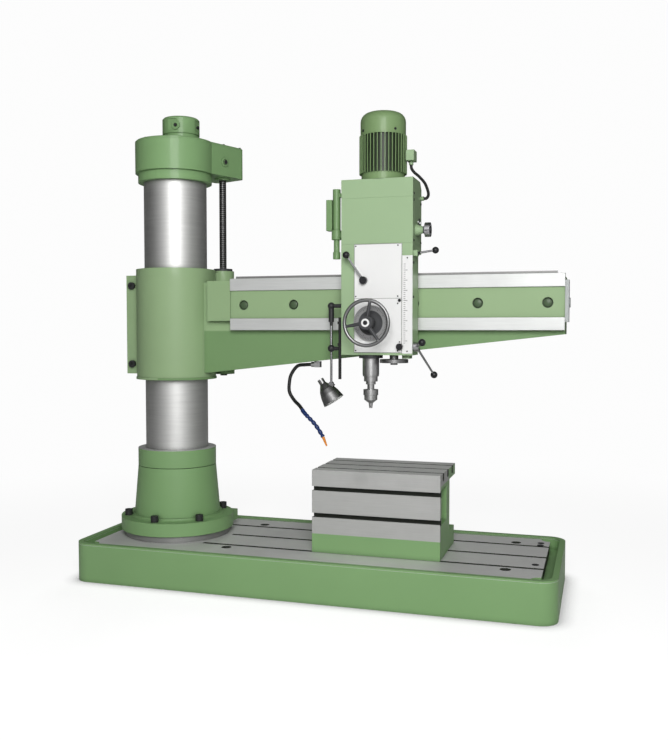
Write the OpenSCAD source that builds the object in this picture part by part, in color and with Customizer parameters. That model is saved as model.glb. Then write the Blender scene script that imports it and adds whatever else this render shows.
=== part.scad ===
// Radial arm drill with a turning column, a lifting arm and a traversing drill head.
// Millimetres. X runs along the base and the arm, Y points to the back, Z is up.
// The origin is on the column axis, on the floor. The arm is shown in its middle position.

/* [Base] */
// length of the base casting
base_l = 2547; // [2400:1:2800]
// width of the base casting
base_w = 910; // [860:2:1000]
// height of the rim of the base
base_h = 208; // [204:1:230]
// thickness of the rim of the base
rim_w = 30; // [20:1:40]
// neck width of the T-slots in the base
slot_neck = 28; // [22:1:30]
// distance between the T-slots in the base
slot_pitch = 225; // [215:1:235]

/* [Column] */
// diameter of the turning column
column_d = 350; // [340:1:370]
// diameter of the fixed inner column
inner_d = 240; // [200:1:260]
// height of the top of the turning column
column_top = 2230; // [2180:5:2300]
// diameter of the arm's lead screw
screw_d = 40; // [30:1:42]

/* [Arm] */
// height of the lower end of the arm's sleeve above the floor
arm_level = 1080; // [1050:5:1120]
// distance from the column axis to the end of the arm
arm_reach = 2147; // [2120:1:2400]
// wall thickness of the arm casting
arm_wall = 20; // [14:1:24]
// diameter of the round core holes in the front of the arm
core_hole_d = 53; // [40:1:70]

/* [Head] */
// distance from the column axis to the spindle axis
spindle_x = 1194; // [1100:1:1300]
// wall thickness of the head casting
head_wall = 12; // [10:0.5:12.5]
// outer diameter of the quill
quill_d = 85; // [82:0.5:86]
// diameter of the spindle
spindle_d = 40; // [34:0.5:42]
// diameter of the motor over its fins
motor_d = 242; // [232:1:250]
// diameter of the chuck's own drill hole
drill_d = 10; // [6:0.5:12]
// outer diameter of the traverse handwheel
handwheel_d = 240; // [200:2:260]

/* [Table] */
// length of the box table
table_l = 674; // [600:1:760]
// height of the box table
table_h = 431; // [420:1:445]
// neck width of the T-slots in the table
table_neck = 22; // [16:1:24]

/* [Fits] */
// radial gap of a part that turns or slides in a bore
run_gap = 0.05; // [0.02:0.01:0.1]
// gap between the head and the arm's guide rails
guide_gap = 0.1; // [0.05:0.05:0.3]
// play between two meshing teeth at the pitch line
tooth_play = 0.16; // [0.1:0.02:0.3]

/* [Hidden] */
$fn = 48;

// paint and metals
green = [0.46, 0.62, 0.42];
green_light = [0.55, 0.70, 0.50];
steel = [0.62, 0.63, 0.63];
bright = [0.80, 0.81, 0.82];
cast = [0.42, 0.43, 0.42];
black = [0.07, 0.07, 0.08];
white = [0.90, 0.90, 0.88];
blue = [0.10, 0.28, 0.72];
orange = [0.92, 0.45, 0.12];

// over-cut that keeps two faces from lying in one plane
eps = 1;
axis = [0, 0];

// base levels and outlines
base_x0 = -402;
base_x1 = base_x0 + base_l;
base_corner_r = 90;
plate_z = base_h - 9;
channel_z = plate_z - 49;
end_channel = 50;
side_channel = 18;
plate_x0 = base_x0 + rim_w + end_channel;
plate_x1 = base_x1 - rim_w - end_channel;
plate_y = base_w / 2 - rim_w - side_channel;
notch_r = 50;
seat_r = 296;
seat_z = plate_z + 37;
slot_mid_y = 15;
slot_ys = [for (k = [-1:1]) slot_mid_y + k * slot_pitch];
slot_neck_h = 22;
slot_wide = slot_neck + 22;
slot_wide_h = 25;
slot_start_r = 334;
anchor_r = 27;
anchor_x0 = 420;
anchor_x1 = 1888;
anchor_dy = 279;
pocket_top = 110;
pocket_x = [[470, 840], [880, 1240], [1280, 1630], [1670, 1850]];
pocket_y = [[-220, -20], [50, 260]];

// foot and columns
column_r = column_d / 2;
column_wall = 25;
inner_r = inner_d / 2;
inner_top = column_top - 110;
flange_r = 316;
flange_z = seat_z + 72;
foot_r1 = 243;
foot_r2 = column_r + 44;
foot_top = 591;
column_z0 = foot_top + 3;
collar_top = 690;
foot_bolt_r = 15;
foot_bolt_ring = 275;
foot_bolt_angles = [-148, -90, -38, 45, 97, 155];
bearing_h = 60;
thrust_h = 30;
lug_x = [100, 264];
lug_y = [100, 249];

// column cap and arm lift drive
cap_r = column_r + 45;
cap_floor = 20;
cap_wall = 14;
cap_z1 = column_top + 165;
lid_z1 = cap_z1 + 12;
cap_angle = 69;
cap_block_l = 356;
cap_block_y = [-200, 20];
cap_corner = 30;
cap_screw_u = 195;
turret = [39, 0];
turret_neck_r = 98;
turret_r = 103;
turret_neck_z = lid_z1 + 38;
turret_z1 = turret_neck_z + 92;
screw_p = [206, 190];
screw_r = screw_d / 2;
screw_z0 = 1090;
lift_m = 4;
lift_z_pinion = 20;
lift_z_idler = 43;
lift_z_screw = 22;
lift_gear_z = column_top + 32;
lift_gear_h = 28;
pinion_shaft_r = 10;
idler_pin_r = 12;

// arm, in the arm's own heights (sleeve starts at 1080)
arm_dz = arm_level - 1080;
sleeve_r = column_r + 47;
sleeve_z = [1080, 1695];
arm_back = 115;
arm_front = -75;
arm_top = 1618;
arm_root_x = 273;
arm_root_z = 1123;
arm_slope = 0.1131;
rail_y = -120;
web_y = -112;
rail_x0 = 385;
rail_up = [1568, 1633];
rail_low = [1355, 1418];
core_xs = [462, 749, 1075, 1400, 1725, 2065];
core_z = 1490;
nut_boss_r = 63;
nut_r = 40;
nut_z0 = 1500;
clamp_x = -300;
clamp_y = 32;
clamp_bolt_r = 12;
clamp_bolt_x = -262;
clamp_bolt_zs = [1161, 1608];
end_cover_x = arm_reach + 18;
end_cover_z = [core_z - 95, core_z + 110];
clamp_z = [sleeve_z[0] + 25, sleeve_z[1] - 28];
root_block_l = 137;

// traverse rack and gear train
rack_m = 4;
rack_z = 1641;
rack_pinion_z = 18;
rack_pinion_r = rack_m * rack_pinion_z / 2;
rack_x = [400, 2130];
rack_y = [-95, -62];
train_m = 3;
wheel_teeth = 32;
idler_teeth = 61;
top_teeth = 40;
train_y = [-243, -236];
top_gear = [1264, rack_z + rack_pinion_r];
wheel_gear = [1217, 1391];
wheel_shaft_r = 12;
traverse_shaft_r = 10;
train_pin_r = 8;

// head, in the head's own frame (spindle at X 1194)
head_dx = spindle_x - 1194;
sp = [1194, -186];
head_x = [1057, 1424];
head_y = [-256, -120];
head_back_top = -46;
head_z = [1230, 1785];
overhang_z = 1742;
gearbox_z1 = 2014;
cover_z1 = 2108;
web_z = [1700, 1716];
web_front = -230;
quill_r = quill_d / 2;
quill_z = [1128, 1600];
quill_travel = 315;
guide_r = quill_r + 10.5;
guide_z1 = 1500;
guide_flat_y = -234;
nose_flange_r = 61;
spindle_r = spindle_d / 2;
spindle_top = 2072;
jaw_z = 957;
chuck_z0 = 985;
plate_t = 3;
plate_front = head_y[0] - plate_t;

// drill feed
feed_m = 2;
feed_teeth = 16;
feed_r = feed_m * feed_teeth / 2;
feed_c = [-231, 1273];
feed_shaft_r = 10;
feed_x = [1182, 1206];
feed_rack_y = feed_c.x + feed_r;
feed_rack_z0 = 1250;

// spindle drive
drive_m = 2.5;
motor_teeth = 17;
drive_teeth = 34;
drive_z = [1790, 1818];
drive_sleeve_r = spindle_r + 8;
motor_c = [1247, sp.y + sqrt(pow(drive_m * (motor_teeth + drive_teeth) / 2, 2) - pow(1247 - sp.x, 2))];
motor_shaft_r = 12;
motor_z = [cover_z1, 2341];
motor_r = motor_d / 2;
cowl_r = 115;
cowl_top = 2449;

// coolant hose and motor cable routes
hose_r = 9.5;
hose_points = [[836, -30, 1170], [790, -30, 1168], [742, -31, 1160], [708, -36, 1115],
    [700, -45, 1070], [703, -52, 1020], [735, -66, 977], [784, -120, 953], [826, -190, 936]];
bead_points = [[826.5, -191, 935.5], [836, -207, 931], [866, -240, 914], [915, -246, 868],
    [957, -248, 808]];
nozzle_tip = [978, -250, 761];
bead_r = 10;
cable_r = 7.5;
cable_points = [[1392, -150, 2196], [1392, -150, 2182], [1394, -148, 2166], [1406, -137, 2148],
    [1426, -117, 2130], [1450, -91, 2100], [1463, -74, 2062], [1463, -65, 2041], [1454, -62, 2028.5],
    [1446, -62, 2027], [1434, -62, 2027]];
gland_r = 11;

// involute angle in degrees
function inv(a) = tan(a) * 180 / PI - a;
// half angle of a gear tooth at radius r
function half_tooth(z, m, r) =
    let (rb = m * z * cos(20) / 2)
    90 / z - tooth_play / 4 / (m * z / 2) * 180 / PI + inv(20) - inv(acos(rb / max(r, rb)));
// radii at which one tooth flank is measured
function flank_radii(z, m) =
    let (rb = m * z * cos(20) / 2)
    let (rf = m * (z / 2 - 1.25))
    let (low = max(rb, rf))
    concat(rb > rf + 0.05 ? [rf] : [], [low, (low + m * (z / 2 + 1)) / 2, m * (z / 2 + 1)]);
function polar(r, a) = [r * cos(a), r * sin(a)];
// outline of a spur gear with one tooth centred at the angle phase
function gear_outline(z, m, phase) =
    let (rs = flank_radii(z, m))
    let (n = len(rs))
    [for (i = [0:z - 1])
        for (k = [0:2 * n - 1])
            let (r = k < n ? rs[k] : rs[2 * n - 1 - k])
            let (side = k < n ? -1 : 1)
            polar(r, phase + i * 360 / z + side * half_tooth(z, m, r))];
// phase of gear 2 in mesh with gear 1, whose phase is p1, seen along the angle a from 1 to 2
function mesh(p1, z1, z2, a) = a + 180 + 180 / z2 - (z1 / z2) * (p1 - a);
function angle_to(a, b) = atan2(b.y - a.y, b.x - a.x);
// point at distance da from a and db from b, on the side given by s
function meet(a, b, da, db, s) =
    let (d = norm(b - a))
    let (u = (b - a) / d)
    let (t = (d * d + da * da - db * db) / (2 * d))
    a + u * t + s * sqrt(max(0, da * da - t * t)) * [-u.y, u.x];
// outline of rack teeth as [along, height above the pitch line]
function rack_outline(m, centre, n0, n1) =
    let (w = PI * m / 2 - tooth_play / 2)
    [for (i = [n0:n1])
        for (q = [[-1, -1.25], [-1, 1], [1, 1], [1, -1.25]])
            [centre + i * PI * m + q.x * (w / 2 - q.y * m * tan(20)), q.y * m]];
function unit(v) = v / norm(v);
// smooth route through hand-set points
function spline(a, b, c, d, t) =
    0.5 * (2 * b + (c - a) * t + (2 * a - 5 * b + 4 * c - d) * t * t
    + (3 * b - a - 3 * c + d) * t * t * t);
function route(p, n) = concat(
    [for (i = [0:len(p) - 2])
        for (k = [0:n - 1])
            spline(p[max(i - 1, 0)], p[i], p[i + 1], p[min(i + 2, len(p) - 1)], k / n)],
    [p[len(p) - 1]]);
function carried(t, v) = unit(v - t * (t * v));
function normals(ts, v, i = 0) =
    i >= len(ts) ? [] : let (n = carried(ts[i], v)) concat([n], normals(ts, n, i + 1));

lift_idler_p = meet(turret, screw_p, lift_m * (lift_z_pinion + lift_z_idler) / 2,
    lift_m * (lift_z_idler + lift_z_screw) / 2, 1);
lift_idler_phase = mesh(0, lift_z_pinion, lift_z_idler, angle_to(turret, lift_idler_p));
lift_screw_phase = mesh(lift_idler_phase, lift_z_idler, lift_z_screw,
    angle_to(lift_idler_p, screw_p));
train_idler = meet(wheel_gear, top_gear, train_m * (wheel_teeth + idler_teeth) / 2,
    train_m * (idler_teeth + top_teeth) / 2, 1);
train_idler_phase = mesh(0, wheel_teeth, idler_teeth, angle_to(wheel_gear, train_idler));
top_phase = mesh(train_idler_phase, idler_teeth, top_teeth, angle_to(train_idler, top_gear));
drive_phase = mesh(0, motor_teeth, drive_teeth, angle_to(motor_c, sp));

module slab(a, b) translate(a) cube(b - a);

module post(p, r, z0, z1) translate([p.x, p.y, z0]) cylinder(r = r, h = z1 - z0);

module cone(p, r0, r1, z0, z1) translate([p.x, p.y, z0]) cylinder(r1 = r0, r2 = r1, h = z1 - z0);

module bar_x(y, z, r, x0, x1) translate([x0, y, z]) rotate([0, 90, 0]) cylinder(r = r, h = x1 - x0);

module bar_y(x, z, r, y0, y1) translate([x, y1, z]) rotate([90, 0, 0]) cylinder(r = r, h = y1 - y0);

module ring(p, r_in, r_out, z0, z1) difference() {
    post(p, r_out, z0, z1);
    post(p, r_in, z0 - eps, z1 + eps);
}

module rod(p, q, r0, r1) {
    d = q - p;
    translate(p)
        rotate([0, acos(d.z / norm(d)), atan2(d.y, d.x)])
            cylinder(r1 = r0, r2 = r1, h = norm(d));
}

module rounded_slab(a, b, r) {
    slab([a.x + r, a.y, a.z], [b.x - r, b.y, b.z]);
    slab([a.x, a.y + r, a.z], [b.x, b.y - r, b.z]);
    for (x = [a.x + r, b.x - r])
        for (y = [a.y + r, b.y - r])
            post([x, y], r, a.z, b.z);
}

module prism_y(pts, y0, y1)
    translate([0, y1, 0]) rotate([90, 0, 0]) linear_extrude(y1 - y0) polygon(pts);

module prism_x(pts, x0, x1)
    translate([x0, 0, 0]) rotate([90, 0, 90]) linear_extrude(x1 - x0) polygon(pts);

module gear_flat(z, m, phase, p, z0, z1)
    translate([p.x, p.y, z0]) linear_extrude(z1 - z0) polygon(gear_outline(z, m, phase));

module gear_upright(z, m, phase, p, y0, y1)
    translate([p.x, y1, p.y]) rotate([90, 0, 0]) linear_extrude(y1 - y0)
        polygon(gear_outline(z, m, phase));

module tube(path, radii, sides, start) {
    n = len(path);
    m = len(radii);
    ts = [for (i = [0:n - 1]) unit(path[min(i + 1, n - 1)] - path[max(i - 1, 0)])];
    ns = normals(ts, start);
    points = [for (i = [0:n - 1])
        for (k = [0:sides - 1])
            path[i] + radii[i % m]
                * (cos(360 * k / sides) * ns[i] + sin(360 * k / sides) * cross(ts[i], ns[i]))];
    walls = [for (i = [0:n - 2])
        for (k = [0:sides - 1])
            for (f = [[0, 1, 2], [0, 2, 3]])
                let (c = [i * sides + k, (i + 1) * sides + k,
                    (i + 1) * sides + (k + 1) % sides, i * sides + (k + 1) % sides])
                [c[f[0]], c[f[1]], c[f[2]]]];
    ends = [[for (k = [0:sides - 1]) k], [for (k = [sides - 1:-1:0]) (n - 1) * sides + k]];
    polyhedron(points = points, faces = concat(ends, walls), convexity = 8);
}

module on_arm() translate([0, 0, arm_dz]) children();

module on_head() translate([head_dx, 0, arm_dz]) children();

module t_slot_x(y, x0, x1, z_top, neck, neck_h, wide, wide_h) {
    slab([x0, y - neck / 2, z_top - neck_h - eps], [x1, y + neck / 2, z_top + eps]);
    slab([x0, y - wide / 2, z_top - neck_h - wide_h], [x1, y + wide / 2, z_top - neck_h]);
}

// standing parts
module base_blank() {
    difference() {
        rounded_slab([base_x0, -base_w / 2, 0], [base_x1, base_w / 2, base_h], base_corner_r);
        difference() {
            rounded_slab([base_x0 + rim_w, -base_w / 2 + rim_w, channel_z],
                [base_x1 - rim_w, base_w / 2 - rim_w, base_h + eps], base_corner_r - rim_w);
            difference() {
                slab([plate_x0, -plate_y, channel_z - eps], [plate_x1, plate_y, plate_z]);
                for (x = [plate_x0, plate_x1])
                    for (y = [-plate_y, plate_y])
                        post([x, y], notch_r, channel_z - 2 * eps, base_h + eps);
            }
        }
    }
    post(axis, seat_r, plate_z - eps, seat_z);
}

module base() {
    color(green)
    difference() {
        base_blank();
        for (y = slot_ys)
            t_slot_x(y, sqrt(slot_start_r * slot_start_r - y * y), plate_x1 + eps, plate_z,
                slot_neck, slot_neck_h, slot_wide, slot_wide_h);
        for (x = [anchor_x0, anchor_x1])
            for (y = [slot_mid_y - anchor_dy, slot_mid_y + anchor_dy])
                post([x, y], anchor_r, -eps, plate_z + eps);
        for (px = pocket_x)
            for (py = pocket_y)
                slab([px[0], py[0], -eps], [px[1], py[1], pocket_top]);
        for (a = foot_bolt_angles)
            post(polar(foot_bolt_ring, a), foot_bolt_r + run_gap, plate_z - 29, seat_z + eps);
    }
}

module column_foot() {
    step_r = foot_r1 + 8;
    step_h = 14;
    color(green)
    difference() {
        union() {
            post(axis, flange_r, seat_z, flange_z);
            post(axis, step_r, flange_z - eps, flange_z + step_h);
            cone(axis, foot_r1, foot_r2, flange_z, foot_top);
            slab([lug_x[0], lug_y[0], seat_z], [lug_x[1], lug_y[1], flange_z - 12]);
        }
        post(axis, inner_r + run_gap, seat_z - eps, foot_top + eps);
        for (a = foot_bolt_angles)
            post(polar(foot_bolt_ring, a), foot_bolt_r + run_gap, seat_z - eps, flange_z + eps);
    }
}

module inner_column() {
    color(steel)
    difference() {
        post(axis, inner_r, seat_z, inner_top);
        post(axis, inner_r - column_wall, seat_z + column_wall, inner_top + eps);
    }
}

module column_bearings() {
    z0 = 640;
    color(steel) {
        ring(axis, inner_r + run_gap, column_r - column_wall - run_gap, z0, z0 + bearing_h);
        ring(axis, inner_r - column_wall, inner_r, inner_top, inner_top + thrust_h);
    }
}

table_x0 = 1225 - table_l / 2;
table_x1 = 1225 + table_l / 2;
table_z1 = plate_z + table_h;
table_y = [-223, 50];
table_slab_y1 = 225;
table_slab_h = 58;
table_flange = [200, 97];
table_slots = [-135, 0, 135];
table_slot_h = 16;
table_side_z = [335 + table_z1 - 630 - 138, 196 + table_z1 - 630 + 138];
side_slot_z = [table_z1 - 96, table_z1 - 235.5];
window_y = [-179, -43];
window_z = [table_z1 - 255, table_z1 - 75];
table_bolt_xs = [1225 - 245, 1225 + 245];
table_bolt_r = 12;
ear_r = 40;

module box_table() {
    color(steel)
    difference() {
        union() {
            slab([table_x0, table_y[0], plate_z], [table_x1, table_y[1], table_z1]);
            slab([table_x0, table_y[0], table_z1 - table_slab_h], [table_x1, table_slab_y1, table_z1]);
            slab([table_x0, table_y[1] - eps, plate_z],
                [table_x1, table_flange[0], plate_z + table_flange[1]]);
            for (x = table_bolt_xs) {
                post([x, slot_ys[2]], ear_r, plate_z, plate_z + table_flange[1]);
                slab([x - ear_r, table_flange[0] - eps, plate_z],
                    [x + ear_r, slot_ys[2], plate_z + table_flange[1]]);
            }
        }
        for (y = table_slots)
            t_slot_x(y, table_x0 - eps, table_x1 + eps, table_z1, table_neck, table_slot_h,
                table_neck + 16, table_slot_h);
        for (z = side_slot_z) {
            slab([table_x0 - eps, table_y[0] - eps, z - table_neck / 2],
                [table_x1 + eps, table_y[0] + 18, z + table_neck / 2]);
            slab([table_x0 - eps, table_y[0] + 18, z - table_neck / 2 - 8],
                [table_x1 + eps, table_y[0] + 32, z + table_neck / 2 + 8]);
        }
        slab([table_x0 - eps, window_y[0], window_z[0]], [table_x1 + eps, window_y[1], window_z[1]]);
        for (x = table_bolt_xs)
            post([x, slot_ys[2]], table_bolt_r + eps, plate_z - eps, plate_z + table_flange[1] + eps);
    }
}

module hold_down_bolts() {
    head_r = 21;
    head_h = 34;
    socket_r = 11;
    nut_h = 22;
    t_head = slot_wide / 2 - 2;
    color(black) {
        for (a = foot_bolt_angles)
            difference() {
                union() {
                    post(polar(foot_bolt_ring, a), foot_bolt_r, plate_z - 20, flange_z + eps);
                    post(polar(foot_bolt_ring, a), head_r, flange_z, flange_z + head_h);
                }
                translate([foot_bolt_ring * cos(a), foot_bolt_ring * sin(a), flange_z + head_h / 2])
                    cylinder(r = socket_r, h = head_h, $fn = 6);
            }
        for (x = table_bolt_xs) {
            slab([x - t_head, slot_ys[2] - t_head, plate_z - slot_neck_h - 16],
                [x + t_head, slot_ys[2] + t_head, plate_z - slot_neck_h]);
            post([x, slot_ys[2]], table_bolt_r, plate_z - slot_neck_h - eps,
                plate_z + table_flange[1] + nut_h + 12);
            translate([x, slot_ys[2], plate_z + table_flange[1]])
                cylinder(r = head_r, h = nut_h, $fn = 6);
        }
    }
}

// turning column
module outer_column() {
    color(bright)
    difference() {
        post(axis, column_r, column_z0, column_top - run_gap);
        post(axis, column_r - column_wall, column_z0 - eps, inner_top + thrust_h);
        post(axis, inner_r - column_wall, inner_top, column_top + eps);
    }
}

module column_collar() {
    color(green)
    ring(axis, column_r + run_gap, foot_r2, column_z0, collar_top);
}

module cap_collar() {
    color(green)
    ring(axis, column_r + run_gap, column_r + 30, column_top - 51, column_top);
}

module cap_shape(inset, z0, z1) {
    post(axis, cap_r - inset, z0, z1);
    rotate([0, 0, cap_angle])
        rounded_slab([-cap_corner, cap_block_y[0] + inset, z0],
            [cap_block_l - inset, cap_block_y[1] - inset, z1], max(cap_corner - inset, 8));
}

module cap_housing() {
    bearing_r = screw_r + 25;
    bearing_h = 12;
    z_in = column_top + cap_floor;
    color(green)
    difference() {
        union() {
            difference() {
                cap_shape(0, column_top, cap_z1);
                cap_shape(cap_wall, z_in, cap_z1 + eps);
            }
            post(lift_idler_p, idler_pin_r + 8, z_in - eps, lift_gear_z - 0.3);
            post(lift_idler_p, idler_pin_r, z_in, lift_gear_z + lift_gear_h + 8);
            post(screw_p, bearing_r, column_top - bearing_h, column_top + eps);
        }
        post(screw_p, screw_r + run_gap, column_top - bearing_h - eps, z_in + eps);
    }
}

module cap_lid() {
    chamfer = 5;
    color(green)
    difference() {
        union() {
            cap_shape(0, cap_z1, lid_z1 - chamfer);
            cap_shape(chamfer, lid_z1 - chamfer - eps, lid_z1);
        }
        post(turret, pinion_shaft_r + run_gap, cap_z1 - eps, lid_z1 + eps);
    }
}

module lift_motor_cover() {
    flat = 99;
    flat_h = 62;
    room_r = 84;
    color(green)
    difference() {
        union() {
            post(turret, turret_neck_r, lid_z1, turret_neck_z + eps);
            post(turret, turret_r, turret_neck_z, turret_z1 - 8);
            cone(turret, turret_r, turret_r - 8, turret_z1 - 8, turret_z1);
        }
        translate([turret.x - turret_r, -turret_r - eps, turret_neck_z + 14])
            cube([2 * turret_r, turret_r - flat + eps, flat_h]);
        translate([turret.x + flat, -turret_r, turret_neck_z + 14])
            cube([turret_r, 2 * turret_r, flat_h]);
        post(turret, room_r, lid_z1 - eps, turret_z1 - 16);
    }
}

module cap_screws() {
    face = 200;
    z_mid = turret_neck_z + 40;
    color(black) {
        bar_y(turret.x + 18, z_mid, 8, -turret_r - 6, -99);
        bar_x(turret.y, z_mid, 8, turret.x + 99, turret.x + turret_r + 6);
        rotate([0, 0, cap_angle - 90]) {
            bar_x(cap_screw_u, cap_z1 - 87, 14, face, face + 9);
            bar_x(cap_screw_u, cap_z1 - 87, 24, face, face + 2);
        }
        rotate([0, 0, cap_angle])
            for (x = [60, 200, 330])
                post([x, -186], 6, lid_z1, lid_z1 + 5);
    }
}

module lead_screw() {
    color(bright) {
        post(screw_p, screw_r, screw_z0, column_top + 100);
        gear_flat(lift_z_screw, lift_m, lift_screw_phase, screw_p, lift_gear_z,
            lift_gear_z + lift_gear_h);
        post(screw_p, screw_r + 10, column_top + cap_floor + 0.3, lift_gear_z + eps);
    }
}

module lift_idler() {
    color(steel)
    difference() {
        gear_flat(lift_z_idler, lift_m, lift_idler_phase, lift_idler_p, lift_gear_z,
            lift_gear_z + lift_gear_h);
        post(lift_idler_p, idler_pin_r + run_gap, lift_gear_z - eps, lift_gear_z + lift_gear_h + eps);
    }
}

module lift_pinion() {
    armature_r = 26;
    color(steel) {
        post(turret, pinion_shaft_r, column_top + cap_floor + 0.3, turret_z1 - 24);
        gear_flat(lift_z_pinion, lift_m, 0, turret, lift_gear_z, lift_gear_z + lift_gear_h);
        post(turret, armature_r, lid_z1 + 12, turret_z1 - 40);
    }
}

// lifting arm
function under(x) = arm_root_z + arm_slope * (x - arm_root_x);

module arm_beam() {
    inner_x = [250, arm_reach - arm_wall];
    x0 = 120;
    difference() {
        prism_y([[x0, under(x0)], [arm_reach, under(arm_reach)], [arm_reach, arm_top],
            [x0, arm_top]], arm_front, arm_back);
        prism_y([[inner_x[0], under(inner_x[0]) + arm_wall], [inner_x[1], under(inner_x[1]) + arm_wall],
            [inner_x[1], arm_top - arm_wall], [inner_x[0], arm_top - arm_wall]],
            arm_front + arm_wall, arm_back - arm_wall);
    }
    slab([rail_x0 - root_block_l, web_y - 6, core_z - 85], [rail_x0, arm_front + eps, arm_top + 5]);
    slab([rail_x0 - eps, web_y, rail_low[0] + eps], [arm_reach, arm_front + eps, rail_up[1] - eps]);
    slab([rail_x0, rail_y, rail_up[0]], [arm_reach, arm_front + eps, rail_up[1]]);
    slab([rail_x0, rail_y, rail_low[0]], [arm_reach, arm_front + eps, rail_low[1]]);
}

module arm() {
    web_w = 90;
    slit = 4;
    color(green)
    on_arm()
    difference() {
        union() {
            post(axis, sleeve_r, sleeve_z[0], sleeve_z[1]);
            post(axis, sleeve_r + 4, sleeve_z[0], sleeve_z[0] + 12);
            arm_beam();
            slab([clamp_x, -clamp_y, clamp_z[0]], [-sleeve_r + 30, clamp_y, clamp_z[1]]);
            post(screw_p, nut_boss_r, 1100, sleeve_z[1]);
            rotate([0, 0, atan2(screw_p.y, screw_p.x)])
                slab([100, -web_w / 2, 1110], [norm(screw_p), web_w / 2, 1685]);
        }
        post(axis, column_r + run_gap, sleeve_z[0] - eps, sleeve_z[1] + eps);
        slab([clamp_x - eps, -slit / 2, sleeve_z[0] - eps],
            [-column_r + 10, slit / 2, sleeve_z[1] + eps]);
        post(screw_p, screw_r + 4, 1100 - eps, sleeve_z[1] + eps);
        post(screw_p, nut_r + run_gap, nut_z0, sleeve_z[1] + eps);
        for (z = clamp_bolt_zs)
            bar_y(clamp_bolt_x, z, clamp_bolt_r + run_gap, -clamp_y - eps, clamp_y + eps);
        for (x = core_xs)
            bar_y(x, core_z, core_hole_d / 2, rail_y - eps, arm_front + arm_wall + eps);
    }
}

module arm_end_cover() {
    color(steel)
    on_arm() {
        slab([arm_reach, rail_y + 2, end_cover_z[0]], [end_cover_x, -30, end_cover_z[1]]);
        bar_x(-68, core_z, 24, end_cover_x, end_cover_x + 6);
    }
}

module arm_rack() {
    pinion_x = top_gear.x + head_dx;
    teeth = floor((rack_x[1] - pinion_x) / (PI * rack_m)) - 1;
    back_teeth = floor((pinion_x - rack_x[0]) / (PI * rack_m)) - 1;
    outline = rack_outline(rack_m, pinion_x, -back_teeth, teeth);
    root = rack_z - 1.25 * rack_m;
    ends = [outline[0].x, outline[len(outline) - 1].x];
    color(steel)
    on_arm() {
        prism_y(concat([[ends[0], rail_up[1]]], [for (q = outline) [q.x, q.y + rack_z]],
            [[ends[1], rail_up[1]]]), rack_y[0], rack_y[1]);
        slab([ends[0], web_y, rail_up[1]], [ends[1], rack_y[0] + eps, root]);
        slab([ends[0], web_y, rail_up[1]], [ends[1], web_y + 12, rack_z + rack_m]);
        slab([ends[0], arm_front + eps, arm_top], [ends[1], rack_y[1], root]);
    }
}

module lift_nut() {
    color(steel)
    on_arm()
    difference() {
        union() {
            post(screw_p, nut_r, nut_z0, sleeve_z[1] + eps);
            post(screw_p, nut_r + 14, sleeve_z[1], sleeve_z[1] + 14);
        }
        post(screw_p, screw_r + run_gap, nut_z0 - eps, sleeve_z[1] + 15 + eps);
    }
}

module arm_bolts() {
    head_r = 20;
    head_h = 18;
    color(black)
    on_arm()
    for (z = clamp_bolt_zs)
        difference() {
            union() {
                bar_y(clamp_bolt_x, z, clamp_bolt_r, -clamp_y - eps, clamp_y + 30);
                bar_y(clamp_bolt_x, z, head_r, -clamp_y - head_h, -clamp_y);
                bar_y(clamp_bolt_x, z, head_r, clamp_y, clamp_y + head_h);
            }
            translate([clamp_bolt_x, -clamp_y - head_h / 2, z])
                rotate([90, 0, 0]) cylinder(r = 10, h = head_h, $fn = 6);
        }
}

module coolant_fitting() {
    x = 848;
    y = -30;
    color(steel)
    on_arm()
    difference() {
        union() {
            slab([x - 6, y - 16, 1155], [x + 26, y + 16, under(x - 6)]);
            slab([x - 6, y - 16, 1155], [x + 26, y + 16, 1180]);
            bar_x(y, 1170, 14, x - 26, x);
        }
        bar_x(y, 1170, hose_r + 0.2, x - 27, x + 14);
    }
}

module coolant_hose() {
    color(black)
    on_arm()
    tube(route(hose_points, 6), [hose_r], 12, [0, 1, 0]);
}

module coolant_segments() {
    color(blue)
    on_arm()
    tube(route(bead_points, 8), [bead_r - 2.5, bead_r + 1, bead_r + 1], 16, [0, 1, 0]);
}

module coolant_nozzle() {
    from = bead_points[len(bead_points) - 1];
    dir = unit(nozzle_tip - from);
    color(orange)
    on_arm()
    rod(from + dir * 1.6, nozzle_tip, 8, 4);
}

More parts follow.
